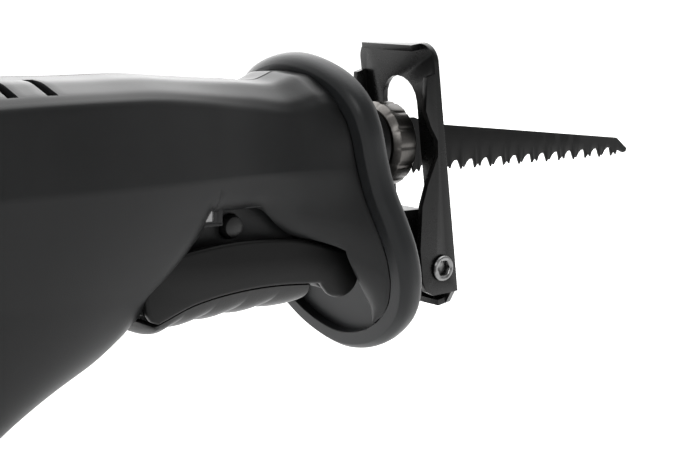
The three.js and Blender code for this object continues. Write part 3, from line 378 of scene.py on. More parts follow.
def soften(points, passes, axis=0, closed=False):
    # Repeated averaging with both neighbours along one axis; open ends stay where they are.
    points = np.moveaxis(np.array(points, float), axis, 0)
    for _ in range(passes):
        before, after = np.roll(points, 1, 0), np.roll(points, -1, 0)
        fresh = 0.5 * points + 0.25 * (before + after)
        if not closed:
            fresh[0], fresh[-1] = points[0], points[-1]
        points = fresh
    return np.moveaxis(points, 0, axis)


def resample(outline, count, closed=True):
    # Points spaced evenly along an outline.
    outline = np.asarray(outline, float)
    if closed:
        outline = np.vstack([outline, outline[:1]])
    run = np.concatenate([[0], np.cumsum(np.linalg.norm(np.diff(outline, axis=0), axis=1))])
    at = np.linspace(0, run[-1], count + 1)[:-1] if closed else np.linspace(0, run[-1], count)
    return np.column_stack([np.interp(at, run, outline[:, k]) for k in range(outline.shape[1])])


def gridMesh(name, points, closeU=False, closeV=False, capU=False):
    # Quads over a grid of points given in saw millimetres; capU closes both ends with one face.
    nu, nv = points.shape[:2]
    index = np.arange(nu * nv).reshape(nu, nv)
    if closeU:
        index = np.vstack([index, index[:1]])
    if closeV:
        index = np.hstack([index, index[:, :1]])
    quads = np.stack([index[:-1, :-1], index[1:, :-1], index[1:, 1:], index[:-1, 1:]], -1)
    faces = [tuple(q) for q in quads.reshape(-1, 4).tolist()]
    if capU:
        faces += [tuple(range(nv)), tuple(range((nu - 1) * nv, nu * nv))[::-1]]
    mesh = bpy.data.meshes.new(name)
    mesh.from_pydata(toRow(points.reshape(-1, 3)).tolist(), [], faces)
    return tidyMesh(name, mesh)


def tidyMesh(name, mesh):
    work = bmesh.new()
    work.from_mesh(mesh)
    bmesh.ops.remove_doubles(work, verts=work.verts, dist=1e-6)
    bmesh.ops.dissolve_degenerate(work, edges=work.edges, dist=1e-6)
    bmesh.ops.recalc_face_normals(work, faces=work.faces)
    loose = [v for v in work.verts if not v.link_faces]
    bmesh.ops.delete(work, geom=loose, context="VERTS")
    work.to_mesh(mesh)
    work.free()
    mesh.polygons.foreach_set("use_smooth", np.ones(len(mesh.polygons), bool))
    mesh.set_sharp_from_angle(angle=sharpAngle)
    obj = bpy.data.objects.new(name, mesh)
    scene.collection.objects.link(obj)
    return obj


def finishPiece(obj, node):
    slot = slotOf[node]
    obj.data.materials.clear()
    obj.data.materials.append(finishes[slot])
    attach(obj, bodyOf[node])
    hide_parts(node)


def turnedPiece(name, profile, axis, centre, steps=64, radiusAt=None):
    # A closed (along, radius) profile carried round an axis; radiusAt may vary it with angle.
    profile = np.array(profile, float)
    angle = np.linspace(0, 2 * math.pi, steps, endpoint=False)
    along = np.repeat(profile[None, :, 0], steps, 0)
    radius = np.repeat(profile[None, :, 1], steps, 0)
    if radiusAt is not None:
        radius = radiusAt(angle[:, None], along, radius)
    c, s = np.cos(angle)[:, None] * radius, np.sin(angle)[:, None] * radius
    order = {"x": (along, c, s), "y": (c, along, s), "z": (c, s, along)}[axis]
    points = np.stack(order, -1) + np.array(centre, float)
    return gridMesh(name, points, closeU=True, closeV=True)


def outwardNormals(outline):
    way = np.roll(outline, -1, 0) - np.roll(outline, 1, 0)
    way /= np.linalg.norm(way, axis=1)[:, None]
    following = np.roll(outline, -1, 0)
    area = np.sum(outline[:, 0] * following[:, 1] - following[:, 0] * outline[:, 1])
    normal = np.stack([way[:, 1], -way[:, 0]], -1)
    return normal if area > 0 else -normal


def roundedPlate(name, outline, span, radius, place, steps=4):
    # An outline carried straight through a span, its two rims rounded; place maps (u, v, w) to XYZ.
    outline = np.array(outline, float)
    normal = outwardNormals(outline)
    turn = np.linspace(0, math.pi / 2, steps + 1)
    low = [(span[0] + radius * (1 - math.sin(a)), radius * (1 - math.cos(a))) for a in turn[::-1]]
    high = [(span[1] - radius * (1 - math.sin(a)), radius * (1 - math.cos(a))) for a in turn]
    rings = [np.column_stack([outline - normal * inset, np.full(len(outline), w)])
             for w, inset in low + high]
    rings = np.array(rings)
    points = place(rings[..., 0], rings[..., 1], rings[..., 2])
    return gridMesh(name, points, closeV=True, capU=True)


def inXZ(u, v, w):
    return np.stack([u, w, v], -1)


guard = {"planeX": -28.0, "tilt": math.radians(15), "ledge": 7.0, "mouth": 16.35}


def inGuard(u, v, n):
    c, s = math.cos(guard["tilt"]), math.sin(guard["tilt"])
    return np.stack([guard["planeX"] - v * s + n * c, u + 0 * n, v * c + n * s], -1)


def roundEdges(obj, width, segments, angle):
    bevel = obj.modifiers.new("edges", "BEVEL")
    bevel.width = width / 1000
    bevel.segments = segments
    bevel.limit_method = "ANGLE"
    bevel.angle_limit = angle
    return bevel


def polished(node, width):
    # A copy of a CAD node with its flat faces joined up and its edges rounded.
    mesh = frame["nodes"][node].data.copy()
    work = bmesh.new()
    work.from_mesh(mesh)
    bmesh.ops.remove_doubles(work, verts=work.verts, dist=2e-6)
    bmesh.ops.dissolve_limit(work, angle_limit=math.radians(1.5), verts=work.verts, edges=work.edges)
    work.to_mesh(mesh)
    work.free()
    mesh.polygons.foreach_set("use_smooth", np.ones(len(mesh.polygons), bool))
    obj = bpy.data.objects.new(node + "Finished", mesh)
    scene.collection.objects.link(obj)
    bevel = roundEdges(obj, width, 3, sharpAngle)
    bevel.harden_normals = True
    finishPiece(obj, node)


# ------------------------------------------------ housing
body = {"tail": -226.0, "half": 29.0, "top": 25.0, "creaseZ": -4.0, "underside": -14.0,
        "footBottom": -87.3, "seam": 0.15, "skin": 2.2, "recessX": -75.0, "edgeRound": 6.0,
        "edgeShare": 0.8, "lean": 1.6, "sideLean": 0.11, "slotHalf": 19.3}
tail, half, top = body["tail"], body["half"], body["top"]
footBottom = body["footBottom"]
lines = {
    "top": [[tail, -8], [tail + 5, 8], [tail + 22, top - 7], [-175, top - 1.8], [-140, top - 0.1],
            [-112, top - 0.1], [-94.2, top + 0.1], [-80, top - 0.9], [-60, top - 2.1], [-44, top - 2.4],
            [-34, top + 0.1]],
    "half": [[tail, half - 10], [tail + 5, half - 6], [tail + 22, half - 2], [-185, half],
             [-130, half - 0.5], [-112, half - 1.1], [-94.2, 26.5], [-76, 24.3], [-58, 21.9],
             [-46, 21.9], [-36, 24.4], [-26, 25.4]],
    "shoulder": [[tail, -12], [tail + 8, 4], [-190, top - 9], [-140, top - 6.5], [-100, top - 6],
                 [-80, top - 7.5], [-60, top - 10], [-45, top - 11.5], [-34, top - 9]],
    "bottom": [[-76, -14], [-60, -14], [-56, -15.2], [-51, -20.5], [-47, -24], [-42, -25],
               [-36, -25.3], [-20, -25.5]],
    "belly": [[tail, footBottom], [-166, footBottom], [-158, footBottom + 3], [-137, -71.5], [-122, -64],
              [-106, -57.5], [-92, -52], [-70, -44]],
    "square": [[-170, 0.3], [-150, 0.45], [-120, 0.7], [-100, 0.85], [-75, 0.85]],
    "slope": [[-92, -130], [-66, -112], [-46, -98], [-28, -85], [-18, -77.6], [-14, -75.5],
              [-9, -75], [-3, -75]],
}
vents = {"top": [-127 - 11.5 * i for i in range(4)], "topHalf": 1.6, "topY": (7.0, 21.5),
         "topAbove": 8, "side": [-178 - 7.0 * i for i in range(4)], "sideHalf": 1.3,
         "sideZ": (-22.0, -6.0), "sideOut": 20}


def line(name, x):
    return smoothLine(lines[name], x)


def bodyStations():
    marks = [tail + k for k in (0, 0.5, 1.2, 2.2, 3.4, 5, 7, 9.5, 13, 17, 22)]
    marks += [x + s * vents["topHalf"] for x in vents["top"] for s in (-1, 1)]
    marks += [x + s * vents["sideHalf"] for x in vents["side"] for s in (-1, 1)]
    marks += [-75 - k for k in (0, 0.6, 1.3, 2.1, 3, 4.1, 5.4, 7)]
    marks += list(np.linspace(-73, -58, 9)) + list(np.linspace(-56.5, -28.45, 32))
    marks = np.unique(np.round(marks, 3))
    extra = []
    for low, high in zip(marks[:-1], marks[1:]):
        steps = int(math.ceil((high - low) / 3.2))
        extra += list(low + (high - low) * np.arange(1, steps) / steps)
    return np.sort(np.concatenate([marks, extra]))


def creaseAt(x):
    return np.minimum(body["creaseZ"], line("shoulder", x) - 6)


def upperSection(x):
    # Half section from the seam on top, over the shoulder, down to the crease along the side.
    h, t, sh, crease = line("half", x), line("top", x), line("shoulder", x), creaseAt(x)
    seam = np.full_like(x, body["seam"])
    corners = [(seam, t - 0.35), (seam + 0.4, t), (h * 0.45, t - 0.7), (h * 0.78, sh + (t - sh) * 0.4),
               (h - 2.6, sh), (h - 1.2, sh + (crease - sh) * 0.55), (h, crease)]
    counts = [1, 5, 6, 5, 10, 10]
    rows = []
    for (a, b), count in zip(zip(corners[:-1], corners[1:]), counts):
        for k in range(count):
            f = k / count
            rows.append(np.stack([a[0] + (b[0] - a[0]) * f, a[1] + (b[1] - a[1]) * f], -1))
    rows.append(np.stack(corners[-1], -1))
    points = np.stack(rows, 1)
    points[:, 1:] = soften(points[:, 1:], 1, axis=1)
    return points


def sideShape(x, part):
    # Points of the lower side by share of the way round, from the recess line to the belly seam.
    high = body["creaseZ"]
    depth = high - line("belly", x)
    h, sq = line("half", x), line("square", x)
    g = np.linspace(0, 1, 160)
    g = g ** 3 / (g ** 3 + (1 - g) ** 3) * math.pi / 2
    y = h[:, None] * np.cos(g)[None, :] ** sq[:, None]
    z = high - depth[:, None] * np.sin(g)[None, :] ** sq[:, None]
    start = np.clip((z - body["underside"]), 0, None)
    run = np.concatenate([np.zeros((len(x), 1)), np.cumsum(
        np.hypot(np.diff(y, axis=1), np.diff(z, axis=1)) * (start[:, 1:] <= 0), axis=1)], 1)
    target = part * run[:, -1]
    at = np.clip((run < target[:, None]).sum(1) - 1, 0, run.shape[1] - 2)
    pick = np.arange(len(x))
    width = np.maximum(run[pick, at + 1] - run[pick, at], 1e-9)
    f = np.clip((target - run[pick, at]) / width, 0, 1)
    return y[pick, at] * (1 - f) + y[pick, at + 1] * f, z[pick, at] * (1 - f) + z[pick, at + 1] * f


def sideAbove(x, z):
    # Same curve, by height, for the band between the crease and the recess line.
    depth = body["creaseZ"] - line("belly", x)
    sq = line("square", x)
    down = np.clip((body["creaseZ"] - z) / depth, 0, 1)
    return line("half", x) * (1 - down ** (2 / sq)) ** (sq / 2)


def edgeCurve():
    xs = np.linspace(-24, -75, 120)
    z = np.linspace(-14, -70, 120)
    return np.vstack([np.column_stack([xs, line("bottom", xs)]), np.column_stack([line("slope", z), z])])


openEdge = edgeCurve()


def edgeDrop(x, z):
    # How far the side turns in as it nears the edge of the recess.
    flat = np.column_stack([x.ravel(), z.ravel()])
    gap = np.min(np.hypot(flat[:, None, 0] - openEdge[None, :, 0],
                          flat[:, None, 1] - openEdge[None, :, 1]), axis=1).reshape(x.shape)
    near = np.clip(1 - gap / body["edgeRound"], 0, 1) * body["edgeShare"]
    return body["edgeRound"] * (1 - np.sqrt(1 - near ** 2))


def leanIn(x, z):
    below = body["creaseZ"] - z
    neck = body["lean"] * easeStep((x + 105) / 45) * np.clip(below / 10, 0, 1) ** 1.3
    crease = body["sideLean"] * np.clip(below, 0, 30) * easeStep((x - tail) / 12)
    return neck + crease * (1 - 0.7 * easeStep((x + 60) / 30))


guardPoints = [[0, 29.8], [12, 28.2], [23.2, 23.6], [30.2, 16.5], [32.8, 8], [33, -3], [34, -12],
               [37, -22], [39, -32], [38, -43], [32, -54.5], [18, -65], [0, -69.4]]


def catmull(points, count):
    points = np.array(points, float)
    before, after, far = (np.roll(points, k, 0) for k in (1, -1, -2))
    t = np.linspace(0, 1, 24, endpoint=False)[None, :, None]
    a, b, c, d = before[:, None], points[:, None], after[:, None], far[:, None]
    curve = 0.5 * (2 * b + (c - a) * t + (2 * a - 5 * b + 4 * c - d) * t ** 2
                   + (3 * b - 3 * c + d - a) * t ** 3)
    return resample(curve.reshape(-1, 2), count)


mirrored = [[-u, v] for u, v in guardPoints[1:-1]][::-1]
guardLine = catmull(guardPoints + mirrored, 240)
guardOut = outwardNormals(guardLine)


def insetLine(distance):
    return guardLine - guardOut * distance


def insetRadius(angle, distance):
    curve = insetLine(distance)
    around = np.arctan2(curve[:, 1], curve[:, 0])
    reach = np.hypot(curve[:, 0], curve[:, 1])
    order = np.argsort(around)
    return np.interp(angle, around[order], reach[order], period=2 * math.pi)


def intoGuard(points):
    # Leans the last stations into the plane of the guard and flares them out to its ledge.
    x, y, z = points[..., 0], points[..., 1], points[..., 2]
    share = easeStep((x + 62) / 33)
    flare = np.clip((x + 50) / 21.4, 0, 1) ** 3
    angle, reach = np.arctan2(z, y), np.hypot(y, z)
    goal = np.maximum(insetRadius(angle, guard["ledge"] - 0.22), reach + 0.4)
    grown = reach + (goal - reach) * flare
    y, v = y * grown / reach, z * grown / reach
    s, c = math.sin(guard["tilt"]), math.cos(guard["tilt"])
    return np.stack([x - v * s * share, y, v * (1 - share * (1 - c))], -1)


flange = {"stations": 9, "rows": 34, "room": 0.3, "sink": 0.9, "ledgeGap": 0.22}


def flangeGrid(neckGrid):
    # Carries the flare on from the bottom edge of the neck, down beside the trigger.
    edge = neckGrid[-flange["stations"]:, -1]
    s, c = math.sin(guard["tilt"]), math.cos(guard["tilt"])
    ahead = edge[:, 0] - guard["planeX"]
    u, v, n = edge[:, 1], edge[:, 2] * c - ahead * s, ahead * c + edge[:, 2] * s
    curve = insetLine(guard["ledge"] - flange["ledgeGap"])
    curve = curve[(curve[:, 0] > body["slotHalf"] + 2 * flange["room"]) & (curve[:, 1] < v[-1])]
    curve = curve[np.argsort(-curve[:, 1])]
    rows = flange["rows"]
    outer = resample(np.vstack([[u[-1], v[-1]], curve]), rows, closed=False)
    across = np.linspace(0, 1, len(u))
    inner = np.column_stack([np.full(rows, body["slotHalf"] + flange["room"]), outer[:, 1]])
    flat = inner[:, None] * (1 - across[None, :, None]) + outer[:, None] * across[None, :, None]
    fade = 1 - easeStep(np.linspace(0, 1, rows) * 1.5)[:, None]
    u2 = flat[..., 0] + (u - flat[0, :, 0])[None] * fade
    v2 = flat[..., 1] + (v - flat[0, :, 1])[None] * fade
    sink = flange["sink"] * np.sin(across * math.pi)[None] * (1 - fade)
    n2 = n[-1] + (n - n[-1])[None] * fade - sink
    return inGuard(u2, v2, n2)


def makeHousingSide(name, side):
    stations = bodyStations()
    upper = upperSection(stations)
    upperGrid = np.concatenate([np.repeat(stations[:, None, None], upper.shape[1], 1), upper], -1)
    neckRows = 9
    neckX = stations[stations >= body["recessX"]]
    part = np.linspace(0, 1, neckRows)
    crease, low = creaseAt(neckX), line("bottom", neckX)
    z = crease[:, None] + (low - crease)[:, None] * part[None, :]
    x = np.repeat(neckX[:, None], neckRows, 1)
    y = sideAbove(x.ravel(), np.maximum(z, -14).ravel()).reshape(x.shape)
    settle = easeStep((x - body["recessX"]) / 12)
    y = y * (1 - settle) + line("half", neckX)[:, None] * settle - leanIn(x, z) - edgeDrop(x, z)
    neckGrid = np.stack([x, y, z], -1)
    rearX = stations[stations <= body["recessX"]]
    share = (rearX - tail) / (body["recessX"] - tail)
    z = creaseAt(rearX)[:, None] + (body["underside"] - creaseAt(rearX))[:, None] * part[None, :]
    x = np.repeat(rearX[:, None], neckRows, 1)
    y = sideAbove(x.ravel(), z.ravel()).reshape(x.shape) - leanIn(x, z) - edgeDrop(x, z)
    bandGrid = np.stack([x, y, z], -1)
    lowRows = 40
    shareAll = np.repeat(share, lowRows)
    partAll = np.tile(np.linspace(0, 1, lowRows), len(rearX))
    x = np.repeat(rearX, lowRows)
    for _ in range(8):
        y, z = sideShape(x, partAll)
        x = tail + shareAll * (line("slope", z) - tail)
    shape = (len(rearX), lowRows)
    x, y, z = x.reshape(shape), y.reshape(shape), z.reshape(shape)
    y = np.maximum(y - leanIn(x, z) - edgeDrop(x, z) * np.clip(y / 8, 0, 1), body["seam"])
    x[:, 0], z[:, 0], y[:, 0] = bandGrid[:, -1, 0], bandGrid[:, -1, 2], bandGrid[:, -1, 1]
    lowGrid = np.stack([x, y, z], -1)
    neckGrid = intoGuard(neckGrid)
    grids = [intoGuard(upperGrid), neckGrid, bandGrid, lowGrid, flangeGrid(neckGrid)]
    ends = []
    for grid in (upperGrid, bandGrid, lowGrid):
        first = grid[0]
        fold = [np.column_stack([first[:, 0], first[:, 1] * (1 - k / 4) + body["seam"] * k / 4,
                                 first[:, 2]]) for k in range(5)]
        ends.append(np.stack(fold, 0))
    return joinGrids(name, grids + ends, side, ventFaces)


def ventFaces(centre):
    x, y, z = centre[:, 0], np.abs(centre[:, 1]), centre[:, 2]
    gone = np.zeros(len(centre), bool)
    for at in vents["top"]:
        gone |= ((np.abs(x - at) < vents["topHalf"]) & (y > vents["topY"][0])
                 & (y < vents["topY"][1]) & (z > vents["topAbove"]))
    for at in vents["side"]:
        middle = tail + (at - tail) / (body["recessX"] - tail) * (line("slope", z) - tail)
        gone |= ((np.abs(x - middle) < vents["sideHalf"]) & (z > vents["sideZ"][0])
                 & (z < vents["sideZ"][1]) & (y > vents["sideOut"]))
    return gone


def joinGrids(name, grids, side=1, drop=None):
    # Several grids of quads in one mesh; points that coincide are merged afterwards.
    points, faces, start = [], [], 0
    for grid in grids:
        nu, nv = grid.shape[:2]
        index = start + np.arange(nu * nv).reshape(nu, nv)
        quads = np.stack([index[:-1, :-1], index[1:, :-1], index[1:, 1:], index[:-1, 1:]], -1)
        faces.append(quads.reshape(-1, 4))
        points.append(grid.reshape(-1, 3))
        start += nu * nv
    points, faces = np.vstack(points), np.vstack(faces)
    if drop is not None:
        faces = faces[~drop(points[faces].mean(1))]
    points = points * np.array([1, side, 1])
    mesh = bpy.data.meshes.new(name)
    mesh.from_pydata(toRow(points).tolist(), [], faces.tolist())
    return tidyMesh(name, mesh)


def thicken(obj, thickness):
    # The wall grows inward from the skin.
    solid = obj.modifiers.new("wall", "SOLIDIFY")
    solid.thickness = thickness / 1000
    solid.offset = -1
    solid.use_even_offset = False


def turnOutward(obj, away):
    # Makes an open skin face away from a line through the middle of the body.
    mesh = obj.data
    centre = np.empty(len(mesh.polygons) * 3)
    normal = np.empty(len(mesh.polygons) * 3)
    mesh.polygons.foreach_get("center", centre)
    mesh.polygons.foreach_get("normal", normal)
    centre, normal = centre.reshape(-1, 3), normal.reshape(-1, 3)
    if np.sum((centre - toRow(away)) * normal * np.array([0, 1, 1])) < 0:
        mesh.flip_normals()


def surfaceAt(obj, x, z):
    # How far out the left skin stands over one place, in mm.
    mesh = obj.data
    corners = [v.co for v in mesh.vertices]
    tree = BVHTree.FromPolygons(corners, [tuple(f.vertices) for f in mesh.polygons])
    hit = tree.ray_cast(Vector(toRow([x, 60, z])), Vector((0, -1, 0)))[0]
    return (np.array(hit) - toRow([0, 0, 0]))[1] * 1000


screwHoles = [(-212, -2), (-213, -60), (-152, -52), (-118, -36), (-67, 14.6)]
screwHole = {"radius": 3.2, "wall": 4.4, "seatBelow": 8.0, "around": 4, "leftOf": 10, "fineRoom": 2.5,
             "rimRoom": 1.2}
skinOver = {}


def openHoles(obj, places, radius):
    # Refines the skin round each place, takes the middle out and pulls its rim onto a circle.
    work = bmesh.new()
    work.from_mesh(obj.data)
    for x, z in places:
        def away(point):
            saw = (np.array(point) - sawZero) * 1000
            return math.hypot(saw[0] - x, saw[2] - z) if saw[1] > screwHole["leftOf"] else math.inf

        near = [f for f in work.faces if away(f.calc_center_median()) < radius + screwHole["fineRoom"]]
        edges = list({e for f in near for e in f.edges})
        bmesh.ops.subdivide_edges(work, edges=edges, cuts=4, use_grid_fill=True)
        inside = [f for f in work.faces if away(f.calc_center_median()) < radius - 0.1]
        bmesh.ops.delete(work, geom=inside, context="FACES")
        for v in work.verts:
            reach = away(v.co)
            if reach < radius + screwHole["rimRoom"] and any(e.is_boundary for e in v.link_edges):
                at = toRow([x, 0, z])
                v.co.x = at[0] + (v.co.x - at[0]) * radius / reach
                v.co.z = at[2] + (v.co.z - at[2]) * radius / reach
    work.to_mesh(obj.data)
    work.free()


def makeHousing():
    for name, side in (("housingLeft", 1), ("housingRight", -1)):
        node = "housing_left" if side > 0 else "housing_right"
        skin = makeHousingSide(name, side)
        turnOutward(skin, [-150, 0, -20])
        if side > 0:
            for x, z in screwHoles:
                steps = (-screwHole["around"], 0, screwHole["around"])
                skinOver[x, z] = min(surfaceAt(skin, x + u, z + w) for u in steps for w in steps)
            openHoles(skin, screwHoles, screwHole["radius"])
        thicken(skin, body["skin"])
        roundEdges(skin, 0.5, 2, math.radians(40))
        finishPiece(skin, node)
    print("housing made")


def boxOutline(low, high, corner, steps=4):
    # Rounded rectangle as an outline, counter-clockwise.
    points = []
    left, right = low[0] + corner, high[0] - corner
    bottom, roof = low[1] + corner, high[1] - corner
    for cx, cy, start in ((right, bottom, -90), (right, roof, 0), (left, roof, 90), (left, bottom, 180)):
        for k in range(steps + 1):
            a = math.radians(start + 90 * k / steps)
            points.append((cx + corner * math.cos(a), cy + corner * math.sin(a)))
    return np.array(points)


def arcPoints(centre, radius, start, end, steps):
    a = np.radians(np.linspace(start, end, steps + 1))
    return [(centre[0] + radius * math.cos(t), centre[1] + radius * math.sin(t)) for t in a]


def inYZ(u, v, w):
    return np.stack([w, u, v], -1)


def mergeObjects(name, parts):
    # One object out of several; each keeps its own closed surface.
    work = bmesh.new()
    for part in parts:
        work.from_mesh(part.data)
        mesh = part.data
        bpy.data.objects.remove(part)
        bpy.data.meshes.remove(mesh)
    mesh = bpy.data.meshes.new(name)
    work.to_mesh(mesh)
    work.free()
    mesh.set_sharp_from_angle(angle=sharpAngle)
    obj = bpy.data.objects.new(name, mesh)
    scene.collection.objects.link(obj)
    return obj


def holedPlate(name, outline, centre, holeRadius, span, radius, place):
    # A plate with one round hole; its outline must be seen whole from the hole's centre.
    fine = resample(outline, 160)
    angle = np.arctan2(fine[:, 1] - centre[1], fine[:, 0] - centre[0])
    fine = fine[np.argsort(angle)]
    angle = np.sort(angle)
    normal = outwardNormals(fine)
    hole = np.stack([np.cos(angle), np.sin(angle)], -1)
    rings = []
    for inset, w in ((0, span[0] + radius), (0, span[1] - radius),
                     (0.3 * radius, span[1] - 0.3 * radius), (radius, span[1])):
        rings.append(np.column_stack([fine - normal * inset, np.full(len(fine), w)]))
    for reach, w in ((0.5, span[1]), (0.15, span[1] - 0.15), (0, span[1] - 0.5), (0, span[0])):
        rim = np.array(centre) + hole * (holeRadius + reach)
        rings.append(np.column_stack([rim, np.full(len(fine), w)]))
    rings.append(np.column_stack([fine - normal * radius, np.full(len(fine), span[0])]))
    rings = np.array(rings)
    return gridMesh(name, place(rings[..., 0], rings[..., 1], rings[..., 2]), closeU=True, closeV=True)


# ------------------------------------------------ what closes the housing round the trigger
recess = {"keelHalf": 12.0, "keelBottom": -29.5, "round": 0.8, "buttonAt": (-64, -19.8),
          "buttonRadius": 3.4, "buttonRoom": 0.3}
# Flat ribs of each half: lowest and highest (x, z), corner, span in y, edge rounding.
recessRibs = {
    "ceiling": ((-72.5, -14), (-31, -12), 0.5, (body["seam"], 17.6), 0.3),
    "cover": ((-104, -18), (-71.5, -16.8), 0.5, (body["seam"], 19.4), 0.3),
    "cheek": ((-100, -17.6), (-71.7, -11.8), 0.4, (17.3, 19.3), 0.2),
    "step": ((-73.5, -17.5), (-71.7, -12.5), 0.4, (body["seam"], 19.4), 0.2),
    "rearWall": ((-106, -46), (-103.4, -17), 1, (body["seam"], 15.5), 0.5),
}
trigger = {"half": 18.5, "wall": 3.0, "floor": 3.0, "pivot": (-26.3, -37.0), "nose": 7.6, "tail": -97.0,
           "gripFront": -37.0, "ribs": 5, "ribDepth": 1.3, "ribSlant": 0.7, "round": 1.2}
lines["paddleTop"] = [[-97, -28], [-88, -25.6], [-66, -23.4], [-46, -24.4], [-33, -27.5], [-26, -30.5]]
lines["paddleLow"] = [[-97, -46.5], [-90, -43.9], [-80, -40.6], [-66, -38.6], [-51, -38.2], [-34, -39.4]]
lines["gripLow"] = [[-96, -49.6], [-90, -50], [-80, -49.2], [-66, -48.2], [-50, -47.4], [-37, -47]]


def makeRecess():
    seam = body["seam"]
    keelOuter = recess["keelHalf"]
    rear = boxOutline((-84, recess["keelBottom"]), (-38, -12.5), 2.5)
    nose = ([(-42, -12.5), (-41, recess["keelBottom"]), (-38, recess["keelBottom"]), (-33.5, -40)]
            + arcPoints(trigger["pivot"], 6, 210, 330, 10)
            + [(-20.8, -30), (-22.4, -24), (-25.1, -12.5)])
    for name, side in (("housingLeft", 1), ("housingRight", -1)):
        node = "housing_left" if side > 0 else "housing_right"

        def place(u, v, w, side=side):
            return np.stack([u, w * side, v], -1)

        parts = [
            holedPlate("keel", rear, recess["buttonAt"], recess["buttonRadius"] + recess["buttonRoom"],
                       (seam, keelOuter), recess["round"], place),
            roundedPlate("keelNose", resample(nose, 90), (seam, keelOuter), recess["round"], place),
        ]
        for rib, (low, high, corner, span, rounding) in recessRibs.items():
            parts.append(roundedPlate(rib, boxOutline(low, high, corner), span, rounding, place))
        lowFoot = roundedPlate("foot", footOutline(), (footBottom, -80), 1.0,
                               lambda u, v, w, side=side: np.stack([u, v * side, w], -1))
        finishPiece(mergeObjects(name + "Recess", parts + [lowFoot]), node)
    print("recess and keel made")


def footOutline():
    corner = arcPoints((-163.5, 21.5), 6, 0, 90, 6) + arcPoints((tail + 6.5, 21.5), 6, 90, 180, 6)
    return np.array([(tail + 0.5, body["seam"]), (-157.5, body["seam"])] + corner)


# ------------------------------------------------ rubber guard round the front
guardRim = {"rear": -0.3, "crease": 2.4, "front": 8.5, "pocket": 2.8, "room": 0.3}


def makeGuard():
    rim = guardRim
    rear, front, floor = rim["rear"], rim["front"], rim["pocket"]
    edge = rim["crease"]
    outer = [(guard["ledge"] - rim["room"], rear + 0.25), (guard["ledge"] - 0.5, rear), (4.6, rear),
             (edge + 0.3, rear), (edge, rear + 0.03), (edge - 0.25, rear + 0.18), (1.3, rear + 0.95),
             (0.6, rear + 1.7), (0.15, rear + 2.7), (0, rear + 3.8), (0, 5.2), (0.25, 6.4), (0.9, 7.4),
             (1.8, 8.1), (2.8, 8.4), (4.2, front)]
    insideStart = insetLine(4.2)
    angle = np.arctan2(insideStart[:, 1], insideStart[:, 0])
    c, s = math.cos(guard["tilt"]), math.sin(guard["tilt"])

    def mouthRing(extra, n):
        radius = guard["mouth"] + extra
        return np.column_stack([radius * np.cos(angle), (radius * np.sin(angle) - n * s) / c,
                                np.full(len(angle), n)])

    rings = [np.column_stack([insetLine(d), np.full(len(angle), n)]) for d, n in outer]
    lip = mouthRing(1.2, front)
    for k in (0.25, 0.5, 0.75):
        rings.append(rings[len(outer) - 1] * (1 - k) + lip * k)
    rings += [lip, mouthRing(0.4, front - 0.25), mouthRing(0, front - 1.0), mouthRing(0, floor)]
    inner = np.column_stack([insetLine(guard["ledge"] - rim["room"]), np.full(len(angle), floor)])
    for k in (0.35, 0.7):
        rings.append(mouthRing(0, floor) * (1 - k) + inner * k)
    rings.append(inner)
    rings = np.array(rings)
    obj = gridMesh("frontGuard", inGuard(rings[..., 0], rings[..., 1], rings[..., 2]),
                   closeU=True, closeV=True)
    finishPiece(obj, "front_guard")
    print("guard made")


